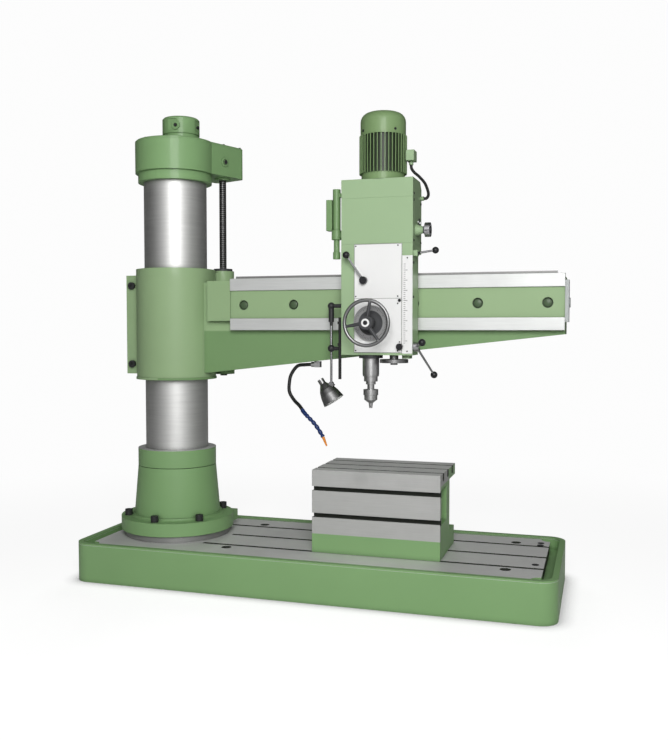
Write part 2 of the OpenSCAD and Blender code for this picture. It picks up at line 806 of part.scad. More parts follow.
// drill head
module head_casting() {
    w = head_wall;
    y1 = head_y[1] - guide_gap;
    ear_y = [[-247, -242], [-212, -207]];
    color(green_light)
    on_head()
    difference() {
        union() {
            difference() {
                union() {
                    slab([head_x[0], head_y[0], head_z[0]], [head_x[1], y1, head_z[1]]);
                    slab([head_x[0], y1 - eps, overhang_z], [head_x[1], head_back_top, head_z[1]]);
                }
                slab([head_x[0] + w, head_y[0] + w, head_z[0] + 13],
                    [head_x[1] - w, y1 - w, head_z[1] + eps]);
                slab([head_x[0] + w, y1 - w - eps, overhang_z + w],
                    [head_x[1] - w, head_back_top - w, head_z[1] + eps]);
            }
            slab([head_x[0] + w - eps, web_front, web_z[0]], [head_x[1] - w + eps, y1 - w + eps, web_z[1]]);
            bar_y(train_idler.x, train_idler.y, train_pin_r, head_y[0] + 2, train_y[1] + 3);
            bar_y(train_idler.x, train_idler.y, train_pin_r + 5, train_y[1] + 0.3, train_y[1] + 3);
            slab([head_x[0] + 20, y1 - eps, rail_low[0] - 20],
                [head_x[1] - 20, rail_y + 38, rail_low[0] - guide_gap]);
            slab([1362, -212, head_z[0] - 18], [1401, -150, head_z[0] + eps]);
            for (e = ear_y)
                slab([head_x[1] - eps, e[0], 1722], [head_x[1] + 22, e[1], 1750]);
            bar_y(head_x[1] + 14, 1736, 5, ear_y[0][0], ear_y[1][1]);
        }
        post(sp, guide_r + run_gap, head_z[0] - eps, head_z[0] + 13 + eps);
        post(sp, spindle_r + 2, web_z[0] - eps, web_z[1] + eps);
        bar_x(feed_c.x, feed_c.y, feed_shaft_r + run_gap, head_x[0] + 4, head_x[1] + eps);
        bar_x(feed_c.x, feed_c.y, feed_r + feed_m + 1.5, feed_x[0] - 2, feed_x[1] + 2);
        bar_y(wheel_gear.x, wheel_gear.y, wheel_shaft_r + run_gap, head_y[0] - eps, head_y[0] + w + eps);
        bar_y(top_gear.x, top_gear.y, traverse_shaft_r + run_gap, y1 - w - eps, y1 + eps);
        bar_y(1176, 1604, 8 + run_gap, head_y[0] - eps, head_y[0] + w + eps);
        bar_y(1362, 1273, 5 + run_gap, head_y[0] - eps, head_y[0] + w + eps);
        bar_y(1359, 1503, 7 + run_gap, head_y[0] - eps, head_y[0] + w + eps);
        post([1316, -190], 12 + run_gap, head_z[0] - eps, head_z[0] + 13 + eps);
    }
}

module gearbox_casing() {
    w = head_wall;
    stem_y = -178;
    stem_z = 1855;
    color(green_light)
    on_head()
    difference() {
        union() {
            difference() {
                slab([head_x[0], head_y[0], head_z[1]], [head_x[1], head_back_top, gearbox_z1]);
                slab([head_x[0] + w, head_y[0] + w, head_z[1] - eps],
                    [head_x[1] - w, head_back_top - w, gearbox_z1 + eps]);
            }
            translate([head_x[1] - eps, stem_y, stem_z])
                rotate([0, 90, 0]) cylinder(r1 = 30, r2 = 16, h = 39);
        }
        bar_x(stem_y, stem_z, 8 + run_gap, head_x[1] - w - eps, head_x[1] + 40);
    }
}

module gearbox_cover() {
    w = head_wall;
    cut = 36;
    color(green_light)
    on_head()
    difference() {
        prism_x([[head_y[0], gearbox_z1], [head_back_top, gearbox_z1], [head_back_top, cover_z1 - cut],
            [head_back_top - cut, cover_z1], [head_y[0], cover_z1]], head_x[0], head_x[1]);
        prism_x([[head_y[0] + w, gearbox_z1 - eps], [head_back_top - w, gearbox_z1 - eps],
            [head_back_top - w, cover_z1 - cut - w / 2], [head_back_top - cut - w / 2, cover_z1 - w],
            [head_y[0] + w, cover_z1 - w]], head_x[0] + w, head_x[1] - w);
        post(motor_c, motor_shaft_r + 4, cover_z1 - w - eps, cover_z1 + eps);
    }
}

module quill_guide() {
    lip = 17;
    z0 = head_z[0] - lip;
    color(black)
    on_head()
    difference() {
        union() {
            post(sp, guide_r, z0, guide_z1);
            post(sp, nose_flange_r, z0, head_z[0]);
        }
        post(sp, quill_r + run_gap, z0 - eps, guide_z1 + eps);
        slab([head_x[0], head_y[0], 1335], [head_x[1], guide_flat_y, guide_z1 + eps]);
        slab([head_x[0], head_y[0], feed_c.y - feed_r - 7], [head_x[1], feed_rack_y + 2, feed_c.y + feed_r + 7]);
    }
}

module front_plates() {
    color(white)
    on_head()
    difference() {
        union() {
            slab([1125, plate_front, 1513.5], [1371, head_y[0], 1785]);
            slab([1125, plate_front, 1242], [1371, head_y[0], 1513]);
            slab([1372, plate_front, 1239], [head_x[1], head_y[0], 1724]);
        }
        bar_y(wheel_gear.x, wheel_gear.y, wheel_shaft_r + 2, plate_front - eps, head_y[0] + eps);
        bar_y(1176, 1604, 10, plate_front - eps, head_y[0] + eps);
        bar_y(1362, 1273, 6, plate_front - eps, head_y[0] + eps);
        bar_y(1359, 1503, 8, plate_front - eps, head_y[0] + eps);
    }
}

module plate_rivets() {
    rivet_r = 3.5;
    color(black)
    on_head() {
        for (x = [1134, 1350])
            for (z = [1252, 1488, 1524, 1775])
                bar_y(x, z, rivet_r, plate_front - 2, plate_front);
        for (z = [1250, 1712])
            bar_y(1398, z, rivet_r, plate_front - 2, plate_front);
        bar_y(1360, 1297, 3, plate_front - 4, plate_front);
    }
}

module motor_frame() {
    fins = 40;
    fin_t = 4;
    fin_foot = 34;
    body_r = motor_r - 16;
    room_r = motor_r - 33;
    z0 = motor_z[0];
    z1 = motor_z[1];
    color(green_light)
    on_head()
    difference() {
        union() {
            post(motor_c, 110, z0, z0 + 56);
            post(motor_c, body_r, z0 + 55, z1);
            post(motor_c, cowl_r, z1 - 9, z1);
            for (i = [0:fins - 1])
                translate([motor_c.x, motor_c.y, z0 + fin_foot])
                    rotate([0, 0, i * 360 / fins])
                        translate([body_r - 3, -fin_t / 2, 0])
                            cube([motor_r - body_r + 3, fin_t, z1 - z0 - 8 - fin_foot]);
        }
        post(motor_c, room_r, z0 + 16, z1 - 10);
        post(motor_c, motor_shaft_r + run_gap, z0 - eps, z1 + eps);
    }
}

module motor_cowl() {
    z0 = motor_z[1];
    t = 3;
    dome = 46;
    shoulder = cowl_top - dome;
    steps = 6;
    outer = [for (k = [0:steps]) [cowl_r - dome + dome * cos(90 * k / steps), shoulder + dome * sin(90 * k / steps)]];
    inner = [for (k = [steps:-1:0]) [cowl_r - dome + (dome - t) * cos(90 * k / steps),
        shoulder + (dome - t) * sin(90 * k / steps)]];
    color(green_light)
    on_head() {
        translate([motor_c.x, motor_c.y, 0])
            rotate_extrude()
                polygon(concat([[cowl_r, z0]], outer, [[0, cowl_top], [0, cowl_top - t]], inner, [[cowl_r - t, z0]]));
    }
}

module junction_box() {
    box_x = [1372, 1413];
    gland_gap = 0.7;
    color(green_light)
    on_head() {
        difference() {
            union() {
                slab([motor_c.x + motor_r - 20, -170, 2212], [box_x[0] + eps, -132, 2244]);
                slab([box_x[0], -185, 2202], [box_x[1], -115, 2254]);
                post([1392, -150], gland_r, 2184, 2203);
                bar_x(-62, 2027, gland_r, head_x[1], head_x[1] + 16);
            }
            post(motor_c, motor_r - 16 + 0.3, 2200, 2260);
            post([1392, -150], cable_r + gland_gap, 2183, 2197);
            bar_x(-62, 2027, cable_r + gland_gap, head_x[1] + 6, head_x[1] + 17);
            motor_fin_room();
        }
    }
}

module motor_fin_room() {
    post(motor_c, motor_r + 0.3, 2100, motor_z[1] + eps);
}

module motor_cable() {
    color(black)
    on_head()
    tube(route(cable_points, 6), [cable_r], 12, [1, 0, 0]);
}

module side_cylinder() {
    y = -200;
    x = 1016;
    gap_x = head_x[0];
    color(steel)
    on_head() {
        post([x, y], 20, 1862, 2071);
        post([x, y], 26, 1816, 1863);
        post([x, y], 15, 1752, 1817);
        post([x, y], 19, 1718, 1753);
        rounded_slab([966, y - 26, 1862], [998, y + 26, 2017], 6);
        slab([x, y - 12, 1826], [gap_x, y + 12, 1850]);
        slab([x, y - 12, 2030], [gap_x, y + 12, 2050]);
    }
}

module lamp_bracket() {
    color(green_light)
    on_head()
    difference() {
        union() {
            for (z = [1479, 1261]) {
                bar_x(lamp_y, z, 10, lamp_x, head_x[0]);
                translate([lamp_x, lamp_y, z]) sphere(r = 19);
            }
            post([lamp_x, lamp_y], 14, 1397, 1470);
            post([lamp_x, lamp_y], 8, 1261, 1400);
        }
        post([lamp_x, lamp_y], lamp_rod_r + run_gap, lamp_socket_z - 10, lamp_socket_z + 21);
    }
}

module oil_pipe() {
    x = head_x[0] - 13;
    y = -236;
    color(black)
    on_head() {
        post([x, y], 8, 1105, 1420);
        for (z = [1275, 1385])
            slab([x - 10, y - 10, z], [head_x[0], y + 10, z + 14]);
    }
}

lamp_x = 990;
lamp_y = -210;
lamp_rod_r = 6;
lamp_ball_r = 12;
knuckle_w = 10;
lamp_socket_z = 1242;
lamp_ball = [lamp_x, lamp_y, 1079];
lamp_neck = [930, lamp_y, 1100];
lamp_rim = [1004, lamp_y, 990];

module lamp_rod() {
    color(bright)
    on_head() {
        post([lamp_x, lamp_y], lamp_rod_r, lamp_ball.z, lamp_socket_z + 20);
        bar_y(lamp_ball.x, lamp_ball.z, lamp_ball_r, lamp_y - knuckle_w, lamp_y + knuckle_w);
    }
}

module lamp_shade() {
    dir = unit(lamp_rim - lamp_neck);
    tilt = acos(dir.z);
    length = norm(lamp_rim - lamp_neck);
    profile = [[0, 0], [17, 0], [17, 26], [29, 44], [40, 62], [49, 88], [58, length],
        [56, length], [47, 89], [38, 64], [27, 46], [14, 28], [14, 4], [0, 4]];
    color(cast)
    on_head()
    difference() {
        union() {
            translate(lamp_neck)
                rotate([0, tilt, 0])
                    rotate_extrude() polygon(profile);
            difference() {
                bar_y(lamp_ball.x, lamp_ball.z, lamp_ball_r + 5, lamp_y - knuckle_w - 3, lamp_y + knuckle_w + 3);
                slab(lamp_ball + [-20, -20, -2], lamp_ball + [20, 20, 20]);
            }
        }
        bar_y(lamp_ball.x, lamp_ball.z, lamp_ball_r + run_gap, lamp_y - knuckle_w - run_gap,
            lamp_y + knuckle_w + run_gap);
    }
}

module lamp_bulb() {
    dir = unit(lamp_rim - lamp_neck);
    color(white)
    on_head() {
        rod(lamp_neck + dir * 4.3, lamp_neck + dir * 60, 9, 9);
        translate(lamp_neck + dir * 76) sphere(r = 20);
    }
}

module motor_rotor() {
    room_r = motor_r - 33;
    color(steel)
    on_head() {
        post(motor_c, motor_shaft_r, drive_z[0] - 5, motor_z[1] + 62);
        gear_flat(motor_teeth, drive_m, 0, motor_c, drive_z[0], drive_z[1]);
        post(motor_c, room_r - 5, motor_z[0] + 30, motor_z[1] - 22);
    }
}

module motor_fan() {
    blades = 7;
    z0 = motor_z[1] + 12;
    color(black)
    on_head()
    difference() {
        union() {
            post(motor_c, 34, z0, z0 + 40);
            post(motor_c, 90, z0, z0 + 3);
            for (i = [0:blades - 1])
                translate([motor_c.x, motor_c.y, z0])
                    rotate([0, 0, i * 360 / blades])
                        translate([30, -2, 0]) cube([66, 4, 36]);
        }
        post(motor_c, motor_shaft_r, z0 - eps, z0 + 41);
    }
}

module drive_gear() {
    color(steel)
    on_head()
    difference() {
        union() {
            gear_flat(drive_teeth, drive_m, drive_phase, sp, drive_z[0], drive_z[1]);
            post(sp, drive_sleeve_r, web_z[1], drive_z[1] + 2);
        }
        post(sp, spindle_r + run_gap, web_z[1] - eps, drive_z[1] + 3);
    }
}

module quill() {
    air_y = sp.y - quill_r - 2;
    tip = feed_rack_y - feed_m;
    n1 = floor((quill_z[1] - feed_c.y) / (PI * feed_m)) - 1;
    teeth = rack_outline(feed_m, feed_c.y, -2, n1);
    last = teeth[len(teeth) - 1];
    color(bright)
    on_head()
    difference() {
        post(sp, quill_r, quill_z[0], quill_z[1]);
        prism_x(concat([[air_y, feed_rack_z0]], [[feed_rack_y + 1.25 * feed_m, feed_rack_z0]],
            [for (q = teeth) [feed_rack_y - q.y, q.x]],
            [[feed_rack_y + 1.25 * feed_m, quill_z[1] + eps], [air_y, quill_z[1] + eps]]),
            sp.x - quill_r - eps, sp.x + quill_r + eps);
        post(sp, spindle_r + run_gap, quill_z[0] - eps, quill_z[1] + eps);
    }
}

module spindle() {
    nose_steps = [1120, 1094, 1079, 1053];
    color(bright)
    on_head() {
        post(sp, spindle_r, quill_z[0] - 8, spindle_top);
        post(sp, quill_r - 1.5, nose_steps[0], quill_z[0] - 0.3);
        post(sp, 35, nose_steps[1], nose_steps[0] + eps);
        post(sp, 25, nose_steps[2], nose_steps[1] + eps);
        post(sp, 18, nose_steps[3], nose_steps[2] + eps);
    }
}

module drill_chuck() {
    color(cast)
    on_head()
    difference() {
        union() {
            post(sp, 38, 1024, 1053);
            post(sp, 33.5, 1000, 1024);
            cone(sp, 14, 33.5, chuck_z0, 1000);
        }
        post(sp, drill_d / 2 + 0.2, chuck_z0 - eps, 1018);
    }
}

module chuck_jaws() {
    color(steel)
    on_head()
    difference() {
        cone(sp, 8, 11.5, jaw_z, chuck_z0);
        post(sp, drill_d / 2, jaw_z - eps, chuck_z0 + eps);
        for (i = [0:2])
            translate([sp.x, sp.y, jaw_z - eps])
                rotate([0, 0, 30 + i * 120])
                    translate([0, -0.8, 0]) cube([14, 1.6, chuck_z0 - jaw_z + 2 * eps]);
    }
}

module handwheel() {
    rim_r = 9;
    ring_r = handwheel_d / 2 - rim_r;
    y = -366;
    c = wheel_gear;
    color(bright)
    on_head() {
        translate([c.x, y, c.y])
            rotate([90, 0, 0]) rotate_extrude() translate([ring_r, 0]) circle(r = rim_r);
        for (a = [80, 190, 305])
            rod([c.x, y, c.y], [c.x + (ring_r - 2) * cos(a), y, c.y + (ring_r - 2) * sin(a)], 11, 7);
        bar_y(c.x, c.y, 33, -384, -346);
        bar_y(c.x, c.y, 24, -347, -286);
        bar_y(c.x, c.y, wheel_shaft_r, -287, train_y[1]);
        gear_upright(wheel_teeth, train_m, 0, c, train_y[0], train_y[1]);
    }
}

module depth_dial() {
    y0 = -283;
    y1 = plate_front - 0.5;
    c = wheel_gear;
    color(white)
    on_head()
    difference() {
        bar_y(c.x, c.y, 88, y0, y1);
        bar_y(c.x, c.y, wheel_shaft_r + run_gap, y0 - eps, y1 + eps);
        bar_y(c.x, c.y, 50, y0 - eps, y0 + 4);
    }
}

module traverse_idler() {
    color(steel)
    on_head()
    difference() {
        gear_upright(idler_teeth, train_m, train_idler_phase, train_idler, train_y[0], train_y[1]);
        bar_y(train_idler.x, train_idler.y, train_pin_r + run_gap, train_y[0] - eps, train_y[1] + eps);
        for (a = [0, 60, 120, 180, 240, 300])
            bar_y(train_idler.x + 52 * cos(a), train_idler.y + 52 * sin(a), 16, train_y[0] - eps, train_y[1] + eps);
    }
}

module traverse_shaft() {
    c = top_gear;
    color(steel)
    on_head() {
        gear_upright(top_teeth, train_m, top_phase, c, train_y[0], train_y[1]);
        bar_y(c.x, c.y, traverse_shaft_r, train_y[1] - eps, rack_y[1]);
        gear_upright(rack_pinion_z, rack_m, -90 + 180 / rack_pinion_z, c, rack_y[0], rack_y[1]);
    }
}

module feed_shaft() {
    color(steel)
    on_head() {
        bar_x(feed_c.x, feed_c.y, feed_shaft_r, head_x[0] + 5, head_x[1] + 26);
        translate([feed_x[0], feed_c.x, feed_c.y])
            rotate([90, 0, 90]) linear_extrude(feed_x[1] - feed_x[0])
                polygon(gear_outline(feed_teeth, feed_m, 180 / feed_teeth));
    }
}

module feed_levers() {
    hub_r = 24;
    x0 = head_x[1] + 1;
    hub = [x0 + 14, feed_c.x, feed_c.y];
    ends = [[1499, -72, 1126], [1499, -390, 1296]];
    color(bright)
    on_head()
    difference() {
        union() {
            bar_x(feed_c.x, feed_c.y, hub_r, x0, x0 + 29);
            for (p = ends) {
                rod(hub + 0.1 * (p - hub), p, 6, 5);
                translate(p) sphere(r = 18);
            }
        }
        bar_x(feed_c.x, feed_c.y, feed_shaft_r + run_gap, x0 - eps, x0 + 26);
    }
}

module speed_lever() {
    pivot = [1176, -270, 1604];
    tip = [1100, -316, 1728];
    color(black)
    on_head() {
        bar_y(pivot.x, pivot.z, 19, pivot.y - 12, plate_front - 0.5);
        bar_y(pivot.x, pivot.z, 8, pivot.y, head_y[0] + 10);
        rod(pivot, tip, 6, 5);
        translate(tip) sphere(r = 18);
    }
}

module gear_lever() {
    pivot = [head_x[1] + 14, -227, 1736];
    tip = [1524, -184, 1752];
    color(black)
    on_head()
    difference() {
        union() {
            bar_y(pivot.x, pivot.z, 11, -240, -214);
            rod(pivot, tip, 6, 5);
            translate(tip) sphere(r = 17);
        }
        bar_y(pivot.x, pivot.z, 5 + run_gap, -241, -213);
    }
}

module side_handwheel() {
    y = -178;
    z = 1855;
    x0 = head_x[1] + 39;
    color(black)
    on_head() {
        bar_x(y, z, 8, head_x[1] - 6, x0 + eps);
        bar_x(y, z, 20, x0, x0 + 9);
        difference() {
            bar_x(y, z, 36, x0 + 8, x0 + 34);
            bar_x(y, z, 28, x0 + 24, x0 + 35);
        }
        bar_x(y, z, 12, x0 + 23, x0 + 38);
    }
}

module fine_feed_wheel() {
    c = [1316, -190];
    color(black)
    on_head() {
        difference() {
            post(c, 72, 1190, 1208);
            ring(c, 30, 60, 1187, 1196);
        }
        post(c, 22, 1207, 1228);
        post(c, 12, 1227, head_z[0] + 12);
        post(c, 18, 1180, 1191);
    }
}

module control_knob() {
    c = [1362, 1273];
    color(black)
    on_head() {
        bar_y(c.x, c.y, 16, plate_front - 22, plate_front - 0.5);
        bar_y(c.x, c.y, 5, plate_front - 1, head_y[0] + 10);
    }
}

module push_button() {
    c = [1359, 1503];
    color(black)
    on_head()
    bar_y(c.x, c.y, 7, plate_front - 6, head_y[0] + 8);
}

base();
column_foot();
inner_column();
column_bearings();
box_table();
hold_down_bolts();
outer_column();
column_collar();
cap_collar();
cap_housing();
cap_lid();
lift_motor_cover();
cap_screws();
lead_screw();
lift_idler();
lift_pinion();
arm();
arm_end_cover();
arm_rack();
lift_nut();
arm_bolts();
coolant_fitting();
coolant_hose();
coolant_segments();
coolant_nozzle();
head_casting();
gearbox_casing();
gearbox_cover();
quill_guide();
front_plates();
plate_rivets();
motor_frame();
motor_cowl();
junction_box();
motor_cable();
side_cylinder();
lamp_bracket();
oil_pipe();
lamp_rod();
lamp_shade();
lamp_bulb();
motor_rotor();
motor_fan();
drive_gear();
quill();
spindle();
drill_chuck();
chuck_jaws();
handwheel();
traverse_idler();
traverse_shaft();
depth_dial();
feed_shaft();
feed_levers();
speed_lever();
gear_lever();
side_handwheel();
fine_feed_wheel();
control_knob();
push_button();
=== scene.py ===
"""Dresses the radial arm drill: paints, ground steel, dials, screws and small trim.

Lengths are metres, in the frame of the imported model: X runs along the base and the arm,
Y points to the back and Z is up. The column stands on the origin.
"""

import logging
import math
from collections.abc import Callable, Sequence
from dataclasses import dataclass, field
from enum import Enum

import bmesh
import bpy
import numpy as np
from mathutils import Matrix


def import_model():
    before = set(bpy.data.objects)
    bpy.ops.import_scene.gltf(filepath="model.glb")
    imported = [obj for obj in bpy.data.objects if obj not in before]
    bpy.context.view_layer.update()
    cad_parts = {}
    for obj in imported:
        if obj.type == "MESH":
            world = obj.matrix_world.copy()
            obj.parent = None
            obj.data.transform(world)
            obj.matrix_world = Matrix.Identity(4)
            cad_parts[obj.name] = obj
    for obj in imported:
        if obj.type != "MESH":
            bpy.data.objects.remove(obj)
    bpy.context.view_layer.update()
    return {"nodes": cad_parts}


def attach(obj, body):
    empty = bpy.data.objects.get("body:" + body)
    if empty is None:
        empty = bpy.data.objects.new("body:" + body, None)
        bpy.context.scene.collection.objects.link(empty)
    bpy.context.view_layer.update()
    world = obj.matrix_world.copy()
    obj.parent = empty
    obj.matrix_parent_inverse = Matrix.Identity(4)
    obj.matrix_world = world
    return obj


log = logging.getLogger("radial_drill")

Colour = tuple[float, float, float]
Point = tuple[float, float, float]
Span = tuple[float, float]
Node = bpy.types.Node
Socket = bpy.types.NodeSocket


# ---- shader maths


class Value:
    """A number that varies over a surface: a node socket with Python's arithmetic."""

    def __init__(self, graph: "Graph", socket: Socket) -> None:
        """Holds the socket and the graph that it is in."""
        self.graph = graph
        self.socket = socket

    def _math(self, operation: str, *terms: "Value | float") -> "Value":
        """The result of one Math node on numbers or values."""
        made = self.graph.node("Math", {"operation": operation}, dict(enumerate(terms)))
        return Value(self.graph, made.outputs[0])

    def __add__(self, other: "Value | float") -> "Value":
        """self + other."""
        return self._math("ADD", self, other)

    def __radd__(self, other: float) -> "Value":
        """other + self."""
        return self._math("ADD", other, self)

    def __sub__(self, other: "Value | float") -> "Value":
        """self - other."""
        return self._math("SUBTRACT", self, other)

    def __rsub__(self, other: float) -> "Value":
        """other - self."""
        return self._math("SUBTRACT", other, self)

    def __mul__(self, other: "Value | float") -> "Value":
        """self * other."""
        return self._math("MULTIPLY", self, other)

    def __truediv__(self, other: "Value | float") -> "Value":
        """self / other."""
        return self._math("DIVIDE", self, other)

    def __pow__(self, other: float) -> "Value":
        """self ** other."""
        return self._math("POWER", self, other)

    def __gt__(self, limit: float) -> "Value":
        """1 where self is above the limit, otherwise 0."""
        return self._math("GREATER_THAN", self, limit)

    def __lt__(self, limit: float) -> "Value":
        """1 where self is below the limit, otherwise 0."""
        return self._math("LESS_THAN", self, limit)

    def __abs__(self) -> "Value":
        """The distance of self from 0."""
        return self._math("ABSOLUTE", self)

    def fraction(self) -> "Value":
        """What self has after the decimal point."""
        return self._math("FRACT", self)

    def either(self, other: "Value") -> "Value":
        """The larger of two values, which joins two masks."""
        return self._math("MAXIMUM", self, other)

    def between(self, low: float, high: float) -> "Value":
        """1 where self lies between two limits."""
        return (self > low) * (self < high)

    def ease(self, low: float, high: float) -> "Value":
        """0 below low, 1 above high, and a smooth step between."""
        made = self.graph.node(
            "MapRange",
            {"interpolation_type": "SMOOTHSTEP"},
            {"Value": self, "From Min": low, "From Max": high},
        )
        return Value(self.graph, made.outputs[0])


class Graph:
    """The node tree of one material or of the world."""

    def __init__(self, owner: bpy.types.Material | bpy.types.World) -> None:
        """Empties the owner's node tree and holds it."""
        owner.use_nodes = True
        self.tree = owner.node_tree
        self.tree.nodes.clear()
        self._place: Socket | None = None

    def node(
        self,
        kind: str,
        settings: dict[str, object] | None = None,
        inputs: dict[str | int, object] | None = None,
    ) -> Node:
        """Adds any node.

        Args:
            kind: the node's type, without the ShaderNode that every type starts with.
            settings: its properties, set first.
            inputs: what goes to its sockets, by name or number: numbers, colours or links.

        Returns:
            The node.
        """
        made = self.tree.nodes.new("ShaderNode" + kind)
        for key, setting in (settings or {}).items():
            setattr(made, key, setting)
        for key, given in (inputs or {}).items():
            socket = made.inputs[key]
            if isinstance(given, Value):
                self.tree.links.new(given.socket, socket)
            elif isinstance(given, Socket):
                self.tree.links.new(given, socket)
            else:
                socket.default_value = given
        return made

    def place(self) -> Socket:
        """The surface point in the piece's own coordinates."""
        if self._place is None:
            self._place = self.node("TexCoord").outputs["Object"]
        return self._place

    def xyz(self) -> tuple[Value, Value, Value]:
        """The three coordinates of the surface point."""
        made = self.node("SeparateXYZ", None, {0: self.place()})
        x, y, z = (Value(self, made.outputs[axis]) for axis in range(3))
        return x, y, z

    def distance(self, point: Point) -> Value:
        """The distance of the surface point from a fixed point."""
        made = self.node(
            "VectorMath", {"operation": "DISTANCE"}, {0: self.place(), 1: point}
        )
        return Value(self, made.outputs["Value"])

    def noise(self, scale: float, detail: float, stretch: Point = (1.0, 1.0, 1.0)) -> Value:
        """Smooth noise from 0 to 1.

        Args:
            scale: cells per metre.
            detail: octaves.
            stretch: a factor on each coordinate; a small one draws the cells out along it.

        Returns:
            The noise.
        """
        where = self.node("Mapping", None, {"Vector": self.place(), "Scale": stretch})
        made = self.node(
            "TexNoise",
            None,
            {"Vector": where.outputs[0], "Scale": scale, "Detail": detail, "Roughness": 0.55},
        )
        return Value(self, made.outputs["Fac"])

    def crevice(self, reach: float) -> Value:
        """How closed in a point is by neighbours within reach: 0 in the open, up to 1 in gaps."""
        made = self.node("AmbientOcclusion", {"samples": 4}, {"Distance": reach})
        return 1.0 - Value(self, made.outputs["AO"])

    def blend(self, share: Value | float, first: object, second: object) -> Socket:
        """Mixes two colours, or their sockets, by the share of the second from 0 to 1."""
        made = self.node("Mix", {"data_type": "RGBA"}, {0: share, 6: first, 7: second})
        return made.outputs[2]

    def mix(
        self,
        share: Value | Socket,
        first: Node,
        second: Node,
    ) -> Node:
        """Mixes two shaders by the share of the second from 0 to 1."""
        inputs = {0: share, 1: first.outputs[0], 2: second.outputs[0]}
        return self.node("MixShader", None, inputs)


@dataclass
class Layer:
    """What one finish gives to a surface: its colour, roughness, metal share and relief."""

    colour: Socket
    rough: Value
    metal: float
    height: Value
    depth: float
    coat: float = 0.0


def rgba(colour: Colour, factor: float = 1.0) -> tuple[float, float, float, float]:
    """A colour times a factor, with full alpha."""
    red, green, blue = (min(1.0, part * factor) for part in colour)
    return red, green, blue, 1.0


# ---- finishes


@dataclass(frozen=True)
class MachinePaint:
    """Sprayed enamel on a filled casting: slow changes of tone and a fine orange peel."""

    colour: Colour
    gloss: float = 0.4
    tone_cells: float = 2.2
    speck_cells: float = 55.0
    dull_cells: float = 9.0
    peel_cells: float = 260.0
    peel: float = 0.00012
    coat: float = 0.12

    def layer(self, g: Graph) -> Layer:
        """Gives the paint's layer in the graph.

        Args:
            g: the graph to draw it in.

        Returns:
            The layer.
        """
        tone = g.noise(self.tone_cells, 2.0)
        speck = g.noise(self.speck_cells, 3.0)
        dull = g.noise(self.dull_cells, 4.0)
        colour = g.blend(tone, rgba(self.colour, 0.94), rgba(self.colour, 1.06))
        colour = g.blend(speck.ease(0.66, 0.8) * 0.1, colour, rgba(self.colour, 0.7))
        rough = self.gloss + dull * 0.12
        height = g.noise(self.peel_cells, 2.0) + speck * 0.8
        return Layer(colour, rough, 0.0, height, self.peel, self.coat)


class Grain(Enum):
    """Which way the grinding or turning lines of a metal run."""

    ALONG_X = (0.02, 1.0, 1.0)
    ROUND_Z = (0.06, 0.06, 1.0)
    EVEN = (1.0, 1.0, 1.0)


@dataclass(frozen=True)
class GroundSteel:
    """Ground or scraped steel and iron: fine lines one way and cloudy patches."""

    colour: Colour
    grain: Grain
    rough: float
    metal: float
    lines: float = 420.0
    stain: float = 0.35
    relief: float = 0.0002
    cloud_cells: float = 14.0
    stain_cells: float = 3.0

    def layer(self, g: Graph) -> Layer:
        """Gives the metal's layer in the graph.

        Args:
            g: the graph to draw it in.

        Returns:
            The layer.
        """
        line = g.noise(self.lines, 2.0, self.grain.value)
        cloud = g.noise(self.cloud_cells, 4.0)
        stain = g.noise(self.stain_cells, 3.0)
        colour = g.blend(line, rgba(self.colour, 0.86), rgba(self.colour, 1.1))
        colour = g.blend(stain.ease(0.45, 0.75) * self.stain, colour, rgba(self.colour, 0.78))
        rough = self.rough + cloud * (0.4 * self.stain) + line * 0.08
        return Layer(colour, rough, self.metal, line, self.relief)


@dataclass(frozen=True)
class Polished:
    """Chrome or polished steel with faint handling marks."""

    colour: Colour
    rough: float

    def layer(self, g: Graph) -> Layer:
        """Gives the polished layer in the graph.

        Args:
            g: the graph to draw it in.

        Returns:
            The layer.
        """
        smear = g.noise(30.0, 4.0)
        colour = g.blend(smear, rgba(self.colour, 0.92), rgba(self.colour, 1.05))
        return Layer(colour, self.rough + smear * 0.1, 1.0, g.noise(600.0, 1.0), 0.00005)


@dataclass(frozen=True)
class Moulded:
    """Plastic, rubber or black oxide: an even dark body with a fine texture."""

    colour: Colour
    rough: float
    texture: float = 300.0
    depth: float = 0.0002

    def layer(self, g: Graph) -> Layer:
        """Gives the moulded layer in the graph.

        Args:
            g: the graph to draw it in.

        Returns:
            The layer.
        """
        speck = g.noise(self.texture, 2.0)
        wear = g.noise(22.0, 4.0)
        colour = g.blend(wear, rgba(self.colour, 0.85), rgba(self.colour, 1.2))
        return Layer(colour, self.rough + wear * 0.15, 0.0, speck, self.depth)


@dataclass(frozen=True)
class Threaded:
    """A screw's thread, drawn as a wave of that lead along Z on dark oiled steel."""

    colour: Colour
    lead: float = 0.012

    def layer(self, g: Graph) -> Layer:
        """Gives the thread's layer: height is a sharpened triangle wave of z / lead.

        Args:
            g: the graph to draw it in.

        Returns:
            The layer.
        """
        _, _, z = g.xyz()
        wave = abs((z / self.lead).fraction() - 0.5) * 2.0
        crest = wave.ease(0.35, 0.65)
        # Painted highlight and shade: the crests are lighter and the roots darker, on top of the
        # relief.
        colour = g.blend(crest, rgba(self.colour, 0.4), rgba(self.colour, 1.8))
        return Layer(colour, 0.4 - crest * 0.12, 0.7, crest, 0.002)


Finish = MachinePaint | GroundSteel | Polished | Moulded | Threaded


# ---- masks: where another finish shows on a piece made in one casting

Mask = Callable[[Graph], Value]
Over = tuple[Finish, Mask]

